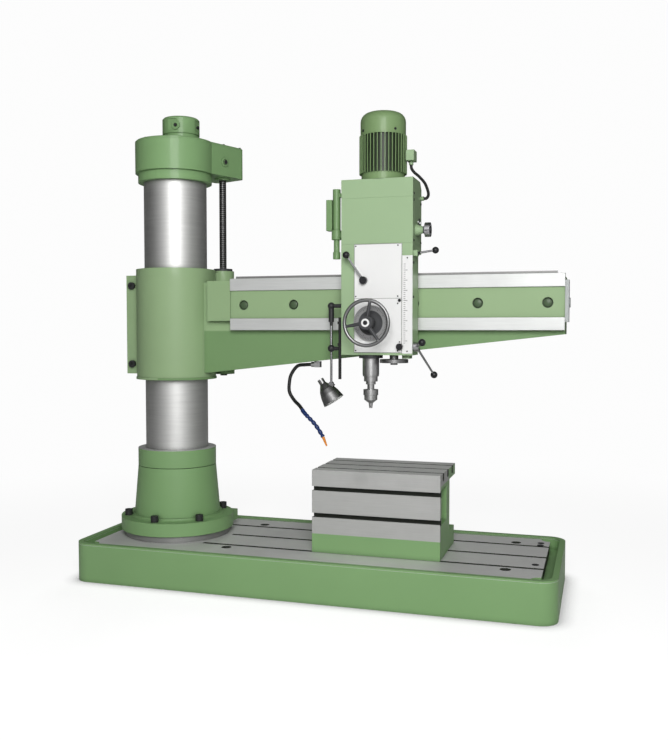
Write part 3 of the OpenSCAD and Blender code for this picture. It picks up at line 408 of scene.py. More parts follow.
# Levels, middles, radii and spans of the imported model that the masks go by, in metres.
HAIR = 0.0005
PLATE_LEVEL = 0.199
PLATE_SUNK = 0.1984
PLATE_SLOTS_X = (0.2, 2.0652)
PLATE_SLOTS_Y = 0.28
PLATE_SLOTS_FLOOR = 0.1512
ANCHOR_HOLES_X = (0.3, 2.0)
ANCHOR_HOLES_Y = 0.34
FOOT_SEAT_RADIUS = 0.2975
COLLAR_TOP = 0.6895
SLEEVE_RADIUS = 0.2225
RAILS_X = (0.3852, 2.2)
RAILS_FRONT = -0.1123
RAILS_TOP = (1.632, 1.634)
ARM_LOWER_EDGE = (1.345, 1.356)
CAP_PLUG = (0.257, 0.11, 2.308)
CAP_BOSS = (0.015, 0.034)

TABLE_MIDDLE = 1.225
TABLE_HALF = 0.3368
TABLE_TOP = 0.6292
TABLE_FOOT = 0.297
TABLE_RIM = 0.5715
TABLE_RIM_BACK = 0.6285
TABLE_FRONT_CHEEK = -0.205
TABLE_BACK_CHEEK = 0.02
TABLE_BACK = 0.0495
TABLE_WINDOW_Y = (-0.1795, -0.0425)
TABLE_WINDOW_Z = (0.3745, 0.5555)
TABLE_SLOT_PITCH = 0.135
TABLE_SLOT_HALF = 0.0195
TABLE_SLOT_Z = (0.59, 0.6294)
TABLE_SLOTS_Y = 0.17
SIDE_SLOT_Y = (-0.2224, -0.1905)
SIDE_SLOT_HALF = 0.0194
SIDE_SLOT_UPPER = 0.534
SIDE_SLOT_LOWER = 0.3945

MOTOR_AXIS = (1.247, -0.150575)
FINS_Z = (2.1435, 2.3325)
FIN_ROOT = 0.116
PLATES_MIDDLE = 1.248
PLATES_HALF = 0.1217
PLATES_REACH = 0.123
PLATES_Z = (1.242, 1.785)
PLATES_BOTTOM = 1.2433
PLATES_TOP = 1.7837
PLATES_JOINT = 1.5132
BEVEL = 0.0013
JOINT_WIDTH = 0.001
SCALE_FINE_X = (1.379, 1.389)
SCALE_LONG_X = (1.379, 1.399)
SCALE_Z = (1.29, 1.69)
SCALE_FINE_STEP, SCALE_FINE_SHARE = 0.01, 0.28
SCALE_LONG_STEP, SCALE_LONG_SHARE = 0.05, 0.065
WHEEL_AXIS = (1.217, 1.391)
WHEEL_BACK = -0.2862
SPOKES_RADIUS = 0.1018
DIAL_MIDDLE_RADIUS = 0.062
SIDE_WHEEL_AXIS = (-0.178, 1.855)
SIDE_WHEEL_STEM = 0.021
LAMP_ROD_X = 0.99
LAMP_ROD_HALF = 0.015
LAMP_ROD_Z = (1.28, 1.378)

BALL = 0.0184
FEED_BALLS: tuple[Point, Point] = ((1.499, -0.072, 1.126), (1.499, -0.39, 1.296))


def near_axis(a: Value, b: Value, axis: Span, radius: float) -> Value:
    """1 where (a - axis a)^2 + (b - axis b)^2 < radius^2: inside a round bar."""
    return ((a - axis[0]) ** 2.0 + (b - axis[1]) ** 2.0) < radius**2


def above(level: float) -> Mask:
    """Makes the mask of what stands higher than a level."""
    return lambda g: g.xyz()[2] > level


def rod_mask(ball: Point, ball_radius: float, hub: Point, hub_radius: float) -> Mask:
    """Makes the mask of a lever's bare rod, between its ball and its hub."""
    return lambda g: (g.distance(ball) > ball_radius) * (g.distance(hub) > hub_radius)


SPEED_ROD = rod_mask((1.1, -0.316, 1.728), BALL, (1.176, -0.27, 1.604), 0.024)
GEAR_ROD = rod_mask((1.524, -0.184, 1.752), 0.0174, (1.438, -0.227, 1.736), 0.018)


def bed_mask(g: Graph) -> Value:
    """The ground plate of the base."""
    _, _, z = g.xyz()
    return z.between(PLATE_LEVEL - HAIR, PLATE_LEVEL + HAIR)


def foot_seat_mask(g: Graph) -> Value:
    """The turned seat of the column's foot on the base."""
    x, y, z = g.xyz()
    return (z > PLATE_LEVEL + HAIR) * ((x**2.0 + y**2.0) < FOOT_SEAT_RADIUS**2)


def bed_slots_shade_mask(g: Graph) -> Value:
    """The insides of the three T-slots and of the anchor holes in the base, painted dark as the
    shade in them.

    Args:
        g: the material's graph.

    Returns:
        The mask.
    """
    x, y, z = g.xyz()
    slots = z.between(PLATE_SLOTS_FLOOR, PLATE_SUNK) * x.between(*PLATE_SLOTS_X)
    holes = (z < PLATE_SUNK) * x.between(*ANCHOR_HOLES_X) * (abs(y) < ANCHOR_HOLES_Y)
    return (slots * (abs(y) < PLATE_SLOTS_Y)).either(holes)


def rails_mask(g: Graph) -> Value:
    """The guide rails on the front of the arm, and the top of the upper one."""
    x, y, z = g.xyz()
    return (y < RAILS_FRONT).either(z.between(*RAILS_TOP)) * x.between(*RAILS_X)


def arm_lower_shade_mask(g: Graph) -> Value:
    """The lower half of the arm, below the rails, painted darker as the shade that falls there.

    Args:
        g: the material's graph.

    Returns:
        The mask.
    """
    x, y, z = g.xyz()
    beyond = ((x**2.0 + y**2.0) > SLEEVE_RADIUS**2) * (x > 0.0)
    return (1.0 - z.ease(*ARM_LOWER_EDGE)) * beyond


def plate_edges_mask(g: Graph) -> Value:
    """The bevelled edges of the front plates and the joint between them.

    Args:
        g: the material's graph.

    Returns:
        The mask.
    """
    x, _, z = g.xyz()
    wide = abs(x - PLATES_MIDDLE)
    sides = (abs(wide - PLATES_HALF) < BEVEL) * z.between(*PLATES_Z)
    ends = (abs(z - PLATES_BOTTOM) < BEVEL).either(abs(z - PLATES_TOP) < BEVEL)
    rows = ends.either(abs(z - PLATES_JOINT) < JOINT_WIDTH)
    return sides.either(rows * (wide < PLATES_REACH))


def table_paint_mask(g: Graph) -> Value:
    """The painted foot, ends, window and back of the box table.

    Args:
        g: the material's graph.

    Returns:
        The mask.
    """
    x, y, z = g.xyz()
    wide = abs(x - TABLE_MIDDLE)
    low, high = z < TABLE_RIM, z < TABLE_RIM_BACK
    cheeks = (low * (y > TABLE_FRONT_CHEEK)).either(high * (y > TABLE_BACK_CHEEK))
    ends = (wide > TABLE_HALF) * cheeks
    window = y.between(*TABLE_WINDOW_Y) * z.between(*TABLE_WINDOW_Z) * (wide < TABLE_HALF)
    back = (y > TABLE_BACK) * low
    return (z < TABLE_FOOT).either(ends).either(window).either(back)


def table_slots_shade_mask(g: Graph) -> Value:
    """The insides of the table's T-slots, painted dark as the shade in them.

    The slots of the top repeat along y: the distance from the nearest one is how far the
    fraction of y / pitch lies from its middle, times the pitch.

    Args:
        g: the material's graph.

    Returns:
        The mask.
    """
    _, y, z = g.xyz()
    nearest = abs((y / TABLE_SLOT_PITCH + 0.5).fraction() - 0.5) * TABLE_SLOT_PITCH
    top = z.between(*TABLE_SLOT_Z) * (nearest < TABLE_SLOT_HALF) * (abs(y) < TABLE_SLOTS_Y)
    upper = abs(z - SIDE_SLOT_UPPER) < SIDE_SLOT_HALF
    lower = abs(z - SIDE_SLOT_LOWER) < SIDE_SLOT_HALF
    return top.either(upper.either(lower) * y.between(*SIDE_SLOT_Y))


def cap_washer_mask(g: Graph) -> Value:
    """The painted washer round the plug on the cap's side."""
    return g.distance(CAP_PLUG).between(*CAP_BOSS)


def feed_balls_mask(g: Graph) -> Value:
    """The two plastic balls on the feed levers."""
    lower, upper = FEED_BALLS
    return (g.distance(lower) < BALL).either(g.distance(upper) < BALL)


def lamp_rod_mask(g: Graph) -> Value:
    """The bare lower half of the lamp's bracket, between its joints."""
    x, _, z = g.xyz()
    return z.between(*LAMP_ROD_Z) * (abs(x - LAMP_ROD_X) < LAMP_ROD_HALF)


def fin_gaps_shade_mask(g: Graph) -> Value:
    """The gaps between the cooling fins of the motor, painted nearly black as the shade there."""
    x, y, z = g.xyz()
    return z.between(*FINS_Z) * near_axis(x, y, MOTOR_AXIS, FIN_ROOT)


def scale_mask(g: Graph) -> Value:
    """Graduations of the quill's travel scale.

    Fine lines stand every 10 mm and longer ones every 50 mm: each is where the part of z left
    over after dividing by that step is below the line's share of it.

    Args:
        g: the material's graph.

    Returns:
        The mask.
    """
    x, _, z = g.xyz()
    fine = ((z / SCALE_FINE_STEP).fraction() < SCALE_FINE_SHARE) * x.between(*SCALE_FINE_X)
    long = ((z / SCALE_LONG_STEP).fraction() < SCALE_LONG_SHARE) * x.between(*SCALE_LONG_X)
    return fine.either(long) * z.between(*SCALE_Z)


def hub_mask(g: Graph) -> Value:
    """The dark hub and spokes of the handwheel."""
    x, y, z = g.xyz()
    return near_axis(x, z, WHEEL_AXIS, SPOKES_RADIUS) * (y < WHEEL_BACK)


def dial_middle_mask(g: Graph) -> Value:
    """The dark middle of the depth dial, inside its graduated ring."""
    x, _, z = g.xyz()
    return near_axis(x, z, WHEEL_AXIS, DIAL_MIDDLE_RADIUS)


def side_wheel_hub_mask(g: Graph) -> Value:
    """The dark stem of the small wheel on the head's right side."""
    _, y, z = g.xyz()
    return near_axis(y, z, SIDE_WHEEL_AXIS, SIDE_WHEEL_STEM)


# What every finish shares: the colour of its painted shade in corners and gaps, the roughness
# there, its mirrored share and how much its relief counts.
CREVICE_SHADE: Colour = (0.018, 0.024, 0.015)
CREVICE_ROUGH = 0.2
SPECULAR = 0.3
BUMP_STRENGTH = 0.6


def make_material(
    name: str,
    main: Finish,
    *over: Over,
    soften: float = 0.0,
    grime: float = 0.75,
    reach: float = 0.03,
) -> bpy.types.Material:
    """Makes a material of one finish with others over it, and painted shade in the corners and
    gaps.

    Args:
        name: the material's name.
        main: the finish of the whole piece.
        over: further finishes, each with the mask that says where it shows.
        soften: the radius to which sharp edges look rounded, in metres.
        grime: how dark the painted shade turns corners and gaps, from 0 to 1.
        reach: how far from a corner the grime reaches, in metres.

    Returns:
        The material.
    """
    made = bpy.data.materials.new(name)
    g = Graph(made)
    base = main.layer(g)
    colour, rough, height = base.colour, base.rough, base.height * base.depth
    metal: Value | float = base.metal
    coat: Value | float = base.coat
    for finish, mask_of in over:
        mask = mask_of(g)
        top = finish.layer(g)
        colour = g.blend(mask, colour, top.colour)
        rough = rough + (top.rough - rough) * mask
        metal = mask * (top.metal - metal) + metal
        coat = mask * (top.coat - coat) + coat
        height = height + (top.height * top.depth - height) * mask
    # Painted shade: the colour darkens towards a near black where neighbours close a point in.
    closed = g.crevice(reach)
    colour = g.blend((closed * grime).ease(0.0, 1.0), colour, rgba(CREVICE_SHADE))
    rough = rough + closed * CREVICE_ROUGH
    bump_inputs: dict[str | int, object] = {
        "Height": height, "Distance": 1.0, "Strength": BUMP_STRENGTH
    }
    if soften > 0.0:
        round_edge = g.node("Bevel", {"samples": 4}, {"Radius": soften})
        bump_inputs["Normal"] = round_edge.outputs[0]
    bump = g.node("Bump", None, bump_inputs)
    shader = g.node(
        "BsdfPrincipled",
        None,
        {
            "Base Color": colour,
            "Roughness": rough,
            "Metallic": metal,
            "Coat Weight": coat,
            "Specular IOR Level": SPECULAR,
            "Normal": bump.outputs[0],
        },
    )
    g.node("OutputMaterial", None, {"Surface": shader.outputs[0]})
    return made


# ---- surfaces


def grid_faces(rows: int, columns: int, close_rows: bool, close_columns: bool) -> np.ndarray:
    """Joins a grid of points with four-sided faces.

    Args:
        rows: points along the first parameter.
        columns: points along the second parameter.
        close_rows: whether the last row joins the first.
        close_columns: whether the last column joins the first.

    Returns:
        Corner numbers, one face a row.
    """
    i = np.arange(rows if close_rows else rows - 1)
    j = np.arange(columns if close_columns else columns - 1)
    a, b = np.meshgrid(i, j, indexing="ij")
    c, d = (a + 1) % rows, (b + 1) % columns
    return np.stack(
        [a * columns + b, a * columns + d, c * columns + d, c * columns + b], axis=-1
    ).reshape(-1, 4)


def frame_of(axis: Sequence[float]) -> np.ndarray:
    """Three unit vectors as rows, the last along the axis.

    Args:
        axis: any vector but zero.

    Returns:
        A 3 by 3 array.
    """
    w = np.asarray(axis, float)
    w = w / np.linalg.norm(w)
    helper = np.array([0.0, 0.0, 1.0]) if abs(w[2]) < 0.9 else np.array([1.0, 0.0, 0.0])
    u = np.cross(helper, w)
    u = u / np.linalg.norm(u)
    return np.stack([u, np.cross(w, u), w])


@dataclass
class Shape:
    """Points and faces of a closed surface."""

    points: np.ndarray
    faces: np.ndarray

    def copies(self, places: np.ndarray, frames: np.ndarray) -> "Shape":
        """Repeats the shape: a copy's point is its place plus x, y and z times its frame's rows.

        Args:
            places: one point for each copy.
            frames: one 3 by 3 array of row vectors for each copy.

        Returns:
            All copies as one shape.
        """
        points = np.einsum("pi,kij->kpj", self.points, frames) + places[:, None, :]
        shift = np.arange(len(places))[:, None, None] * len(self.points)
        return Shape(points.reshape(-1, 3), (self.faces[None] + shift).reshape(-1, 4))

    def at(self, places: Sequence[Sequence[float]], axis: Sequence[float]) -> "Shape":
        """The shape standing on each of the places, with its z along the axis."""
        frames = np.repeat(frame_of(axis)[None], len(places), axis=0)
        return self.copies(np.asarray(places, float), frames)


# A point on the axis is drawn this far out, and merged again with its neighbours.
AXIS_RADIUS = 1e-6


def turned(profile: Sequence[tuple[float, float]], sides: int, closed: bool = False) -> Shape:
    """A profile turned round Z: x = r cos t, y = r sin t, z = h for each (r, h).

    Args:
        profile: radius and height, from the bottom outwards and up.
        sides: steps round the axis.
        closed: whether the profile's last point joins its first, as in a ring.

    Returns:
        The surface.
    """
    rows = np.asarray(profile, float)
    t = np.linspace(0.0, 2.0 * np.pi, sides, endpoint=False)
    r = np.maximum(rows[:, 0], AXIS_RADIUS)[:, None]
    points = np.stack(
        [r * np.cos(t), r * np.sin(t), np.broadcast_to(rows[:, 1][:, None], (len(rows), sides))],
        axis=-1,
    )
    return Shape(points.reshape(-1, 3), grid_faces(len(rows), sides, closed, True))


def rounded_bar(half: Point, corner: float, steps: int) -> Shape:
    """A bar along Z with rounded long edges and softly closed ends.

    The outline is a rectangle whose corners are quarter circles, and each end steps in by the
    corner radius.

    Args:
        half: half the size along x, y and z.
        corner: corner radius.
        steps: points on each corner.

    Returns:
        The surface.
    """
    t = np.linspace(0.0, 0.5 * np.pi, steps)
    quarter = np.stack([np.cos(t), np.sin(t)], axis=-1)
    turn = np.array([[1, 0, 0, 1], [0, 1, -1, 0], [-1, 0, 0, -1], [0, -1, 1, 0]]).reshape(4, 2, 2)
    sign = np.array([[1, 1], [-1, 1], [-1, -1], [1, -1]])
    inner = np.array([half[0] - corner, half[1] - corner])
    outline = np.concatenate([sign[k] * inner + corner * (quarter @ turn[k]) for k in range(4)])
    top, inset = half[2], 1.0 - corner / half[0]
    rise = [[-top, 0.0], [-top, inset], [corner - top, 1.0]]
    levels = np.array(rise + [[top - corner, 1.0], [top, inset], [top, 0.0]])
    xy = outline[None] * levels[:, 1][:, None, None]
    z = np.broadcast_to(levels[:, 0][:, None, None], xy.shape[:2] + (1,))
    points = np.concatenate([xy, z], axis=-1)
    return Shape(points.reshape(-1, 3), grid_faces(len(levels), len(outline), False, True))


def new_object(name: str, data: bpy.types.ID) -> bpy.types.Object:
    """Makes an object of a mesh, lamp or camera and puts it into the scene.

    Args:
        name: the object's name.
        data: what it shows or holds.

    Returns:
        The object.
    """
    made = bpy.data.objects.new(name, data)
    bpy.context.scene.collection.objects.link(made)
    return made


# Edges where the faces turn by more than this look sharp.
SHARP = math.radians(35.0)


def add_piece(
    name: str, shape: Shape, material: bpy.types.Material, body: str, smooth: bool = True
) -> None:
    """Puts a shape into the scene and lets it ride on a body.

    Args:
        name: the piece's name.
        shape: its points and faces.
        material: its finish.
        body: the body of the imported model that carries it.
        smooth: whether its faces are shaded smooth.
    """
    mesh = bpy.data.meshes.new(name)
    mesh.from_pydata(shape.points.tolist(), [], shape.faces.tolist())
    mesh.materials.append(material)
    mesh.polygons.foreach_set("use_smooth", np.full(len(mesh.polygons), smooth))
    mesh.validate()
    merge_and_face_out(mesh)
    if smooth:
        mesh.set_sharp_from_angle(angle=SHARP)
    made = new_object(name, mesh)
    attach(made, body)
    log.info("%s rides on %s with %d faces", name, body, len(mesh.polygons))


# Points closer than the first are one, and an edge shorter than the second is none.
DOUBLED = 2e-6
EMPTY = 1e-7


def merge_and_face_out(mesh: bpy.types.Mesh) -> None:
    """Merges doubled points, drops empty faces and turns all faces outwards.

    Args:
        mesh: the mesh to mend.
    """
    work = bmesh.new()
    work.from_mesh(mesh)
    bmesh.ops.remove_doubles(work, verts=work.verts, dist=DOUBLED)
    bmesh.ops.dissolve_degenerate(work, edges=work.edges, dist=EMPTY)
    bmesh.ops.recalc_face_normals(work, faces=work.faces)
    work.to_mesh(mesh)
    work.free()


# ---- the paint shop


@dataclass
class PaintShop:
    """Holds the machine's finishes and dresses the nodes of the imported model."""

    green: Colour = (0.248, 0.428, 0.188)
    green_light: Colour = (0.365, 0.518, 0.298)
    green_arm: Colour = (0.33, 0.475, 0.254)
    # Painted shade: a darker copy of the green, for the lower arm and the head's side cylinder.
    green_painted_shade: Colour = (0.198, 0.336, 0.147)
    green_motor: Colour = (0.222, 0.345, 0.152)
    # Painted shade: a nearly black green for the gaps between the motor's fins.
    green_fin_gap_shade: Colour = (0.022, 0.04, 0.015)
    materials: dict[str, bpy.types.Material] = field(default_factory=dict)

    def add(self, key: str, name: str, main: Finish, *over: Over, **settings: float) -> None:
        """Makes one material and keeps it under the key that pieces ask for it by."""
        self.materials[key] = make_material(name, main, *over, **settings)

    def mix(self) -> None:
        """Makes every material once."""
        paint = MachinePaint(self.green)
        shade = MachinePaint(self.green_painted_shade)
        fins = MachinePaint(self.green_fin_gap_shade)
        along, even, around = Grain.ALONG_X, Grain.EVEN, Grain.ROUND_Z
        bed = GroundSteel((0.78, 0.78, 0.77), along, rough=0.4, metal=0.25)
        seat = GroundSteel((0.34, 0.34, 0.335), even, rough=0.34, metal=0.55)
        rail = GroundSteel((0.64, 0.65, 0.64), along, rough=0.38, metal=0.45)
        table = GroundSteel((0.52, 0.52, 0.51), along, 0.38, 0.4, lines=260.0, stain=0.9)
        table_top = GroundSteel((0.72, 0.72, 0.71), along, 0.4, 0.25, lines=260.0, stain=0.6)
        turned_steel = GroundSteel((0.5, 0.5, 0.5), around, rough=0.2, metal=0.96)
        column = GroundSteel(
            (0.6, 0.6, 0.59), around, 0.45, 0.96, lines=90.0, stain=0.08, relief=0.00002
        )
        rack = GroundSteel((0.29, 0.29, 0.285), even, rough=0.42, metal=0.8)
        dial = GroundSteel((0.31, 0.31, 0.31), even, rough=0.34, metal=0.7)
        dark = Moulded((0.056, 0.057, 0.061), 0.34)
        black = Moulded((0.018, 0.018, 0.02), 0.18, texture=500.0, depth=0.00005)
        # Painted shade: a near black for the insides of slots and holes.
        slot = Moulded((0.03, 0.033, 0.027), 0.55)
        white = MachinePaint((0.93, 0.93, 0.92), 0.3)
        ink = Moulded((0.28, 0.28, 0.28), 0.4)
        oxide = Moulded((0.029, 0.029, 0.031), 0.34)
        chrome = Polished((0.46, 0.46, 0.47), 0.16)
        gun = Polished((0.23, 0.23, 0.23), 0.34)
        line = Moulded((0.3, 0.3, 0.29), 0.4)
        add = self.add
        add("paint", "green enamel", paint, soften=0.004)
        add("light", "light green enamel", MachinePaint(self.green_light), soften=0.004)
        # Painted shade: the darker copy of the green, used for the head's side cylinder.
        add("shade", "green enamel with painted shade", shade, soften=0.002)
        # The motor's fin gaps get painted shade.
        add(
            "motor", "motor enamel", MachinePaint(self.green_motor), (fins, fin_gaps_shade_mask),
            soften=0.002, reach=0.02,
        )
        add(
            "bed", "base enamel and bed", paint, (bed, bed_mask), (seat, foot_seat_mask),
            (slot, bed_slots_shade_mask), soften=0.003,
        )
        # Below the rails the arm gets the painted shade green.
        add(
            "arm", "arm enamel and rails", MachinePaint(self.green_arm), (shade, arm_lower_shade_mask),
            (rail, rails_mask), soften=0.004,
        )
        add(
            "table", "table iron and enamel", table, (table_top, above(TABLE_TOP)),
            (paint, table_paint_mask), (slot, table_slots_shade_mask), soften=0.002,
        )
        add(
            "collar", "collar enamel and steel", paint, (rail, above(COLLAR_TOP)), soften=0.003
        )
        add("column", "ground column", column, grime=0.9)
        add("steel", "machined steel", turned_steel, soften=0.0008, reach=0.01)
        add("rack", "rack steel", rack)
        add("screw", "lead screw thread", Threaded((0.06, 0.06, 0.06)), grime=0.3)
        add("chrome", "chrome", chrome, reach=0.01)
        add("gun", "gun metal", gun, soften=0.001, reach=0.012)
        add("dial", "dial steel", dial, (dark, dial_middle_mask), soften=0.001)
        add("dark", "dark cast iron", dark, soften=0.001)
        add("black", "black plastic", black, soften=0.001)
        add("oxide", "black oxide", oxide, soften=0.0012)
        add("bracket", "lamp bracket", oxide, (chrome, lamp_rod_mask), soften=0.0012)
        add("cap", "cap plugs", oxide, (paint, cap_washer_mask), soften=0.001)
        add("rubber", "black rubber", Moulded((0.018, 0.018, 0.018), 0.5))
        add("white", "white plate", white, soften=0.0006, grime=0.5, reach=0.012)
        add(
            "scale", "white plate with scale", white, (line, plate_edges_mask),
            (ink, scale_mask), soften=0.0006, grime=0.5, reach=0.012,
        )
        add("blue", "blue hose segments", Moulded((0.012, 0.033, 0.14), 0.3), reach=0.008)
        add("orange", "orange nozzle", Moulded((0.86, 0.28, 0.03), 0.36), reach=0.008)
        add("grey", "grey enamel", MachinePaint((0.5, 0.53, 0.52), 0.42), soften=0.003)
        add("bulb", "frosted bulb", MachinePaint((0.86, 0.85, 0.8), 0.45))
        add("ink", "dark marks", Moulded((0.02, 0.02, 0.02), 0.4))
        # Painted shade: the plugs' green is darkened to the shade inside the arm's windows.
        add("plug", "core plugs", MachinePaint((0.075, 0.123, 0.06)), reach=0.012)
        add("wheel", "handwheel", gun, (dark, hub_mask), soften=0.001, reach=0.012)
        add(
            "side wheel", "small wheel", chrome, (dark, side_wheel_hub_mask),
            soften=0.001, reach=0.012,
        )
        add("feed", "feed levers", chrome, (black, feed_balls_mask), reach=0.01)
        add("speed", "speed lever", black, (chrome, SPEED_ROD), reach=0.01)
        add("gear", "gear lever", black, (chrome, GEAR_ROD), reach=0.01)
        log.info("%d finishes mixed", len(self.materials))

    def dress(self, nodes: dict[str, bpy.types.Object]) -> None:
        """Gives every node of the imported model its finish.

        Args:
            nodes: the model's objects by node name.
        """
        finish = {
            "paint": "column_foot cap_collar cap_housing cap_lid lift_motor_cover",
            # The side cylinder is painted in the shade green.
            "shade": "side_cylinder",
            "light": "head_casting gearbox_casing gearbox_cover junction_box",
            "motor": "motor_frame motor_cowl",
            "bed": "base",
            "arm": "arm",
            "table": "box_table",
            "collar": "column_collar",
            "column": "outer_column",
            "screw": "lead_screw",
            "steel": "inner_column column_bearings lift_idler lift_pinion coolant_fitting"
            " motor_rotor drive_gear quill spindle drill_chuck chuck_jaws traverse_idler"
            " traverse_shaft feed_shaft",
            "rack": "arm_rack",
            "dark": "lift_nut quill_guide",
            "gun": "lamp_shade fine_feed_wheel",
            "cap": "cap_screws",
            "oxide": "hold_down_bolts arm_bolts plate_rivets",
            "bracket": "lamp_bracket",
            "rubber": "coolant_hose motor_cable oil_pipe",
            "dial": "depth_dial",
            "scale": "front_plates",
            "blue": "coolant_segments",
            "orange": "coolant_nozzle",
            "grey": "arm_end_cover",
            "bulb": "lamp_bulb",
            "chrome": "lamp_rod",
            "wheel": "handwheel",
            "feed": "feed_levers",
            "speed": "speed_lever",
            "gear": "gear_lever",
            "side wheel": "side_handwheel",
            "black": "motor_fan control_knob push_button",
        }
        for key, names in finish.items():
            for name in names.split():
                for slot in nodes[name].material_slots:
                    slot.material = self.materials[key]
        dressed = sum(len(names.split()) for names in finish.values())
        log.info("%d of %d nodes dressed", dressed, len(nodes))

    def __getitem__(self, key: str) -> bpy.types.Material:
        """One finish by its key."""
        return self.materials[key]


# ---- trim


def socket_screw(radius: float, height: float) -> Shape:
    """A socket head screw's head: a turned cup with a rounded rim, standing on z = 0.

    Args:
        radius: the head's radius.
        height: the head's height.

    Returns:
        The surface.
    """
    r, h = radius, height
    rim = [(0, 0), (r, 0), (r, 0.82 * h), (0.9 * r, h)]
    return turned(rim + [(0.55 * r, h), (0.52 * r, 0.35 * h), (0, 0.35 * h)], sides=20)


@dataclass
class BaseTrim:
    """The fillet at the column's foot and the plugs in the base plate."""

    foot_inner: float = 0.2508
    foot_level: float = 0.308
    fillet: float = 0.013
    sunk_in: float = 0.004
    sunk_down: float = 0.002
    plug_radius: float = 0.0175
    plug_height: float = 0.002
    plug_places: tuple[Span, ...] = ((2.019, 0.312), (2.019, 0.262), (2.022, -0.141))

    def build(self, shop: PaintShop) -> None:
        """Adds both: the fillet is a hollow quarter circle turned round the column.

        Args:
            shop: the mixed finishes.
        """
        t = np.linspace(0.0, 0.5 * np.pi, 8)
        r = self.foot_inner + self.fillet * (1.0 - np.sin(t))
        h = self.foot_level + self.fillet * (1.0 - np.cos(t))
        inner, low = self.foot_inner - self.sunk_in, self.foot_level - self.sunk_down
        profile = [(inner, low), (self.foot_inner + self.fillet, low)]
        profile += list(zip(r.tolist(), h.tolist(), strict=True))
        profile += [(inner, self.foot_level + self.fillet)]
        fillet = turned(profile, sides=96, closed=True)
        add_piece("foot_fillet", fillet, shop["paint"], "ground")
        # Painted shade: dark discs where the plate has holes, standing for the shade in them.
        places = [(x, y, PLATE_LEVEL) for x, y in self.plug_places]
        plugs = socket_screw(self.plug_radius, self.plug_height).at(places, (0, 0, 1))
        add_piece("plate_plugs", plugs, shop["oxide"], "ground")


@dataclass
class ArmTrim:
    """The core plugs in the round windows of the arm's front, in a darkened green that paints the
    shade in the windows.
    """

    xs: tuple[float, ...] = (0.462, 0.749, 1.075, 1.4, 1.725, 2.065)
    level: float = 1.49
    face: float = -0.096
    radius: float = 0.0195
    flange: float = 0.0262
    flange_height: float = 0.002
    height: float = 0.01

    def build(self, shop: PaintShop) -> None:
        """Adds one plug in each window, sunk below the arm's face.

        Args:
            shop: the mixed finishes.
        """
        r, wide, step, top = self.radius, self.flange, self.flange_height, self.height
        foot = [(0, 0), (wide, 0), (wide, step), (r, step)]
        plug = turned(foot + [(r, top - 0.001), (r - 0.0015, top), (0, top)], sides=40)
        plugs = plug.at([(x, self.face, self.level) for x in self.xs], (0, -1, 0))
        add_piece("core_plugs", plugs, shop["plug"], "arm")


@dataclass
class CapTrim:
    """Screws on the cap's lid, and rings round the plugs of the cap and the lift motor's cover."""

    lid_level: float = 2.407
    ring: float = 0.198
    screw_angles: tuple[float, ...] = (125.0, 165.0, 205.0, 245.0, 285.0)
    screw_radius: float = 0.007
    screw_height: float = 0.005
    boss: Point = (0.057, -0.0988, 2.485)
    plug_axis: Point = (0.933, -0.36, 0.0)

    def build(self, shop: PaintShop) -> None:
        """Adds the ring of lid screws, then the two painted rings.

        Args:
            shop: the mixed finishes.
        """
        a = np.radians(self.screw_angles)
        level = np.full(len(a), self.lid_level)
        places = np.stack([self.ring * np.cos(a), self.ring * np.sin(a), level], axis=-1)
        screws = socket_screw(self.screw_radius, self.screw_height).at(places, (0, 0, 1))
        add_piece("lid_screws", screws, shop["oxide"], "column")
        boss = turned(
            [(0.0095, 0.0), (0.025, 0.0), (0.025, 0.004), (0.023, 0.006), (0.0115, 0.006),
             (0.0095, 0.004)], sides=40, closed=True,
        ).at([self.boss], (0, -1, 0))
        add_piece("cover_boss", boss, shop["paint"], "column")
        seat = turned(
            [(0.015, 0.0), (0.0262, 0.0), (0.0262, 0.003), (0.024, 0.005), (0.0168, 0.005),
             (0.015, 0.0034)], sides=40, closed=True,
        ).at([CAP_PLUG], self.plug_axis)
        add_piece("cap_boss", seat, shop["paint"], "column")


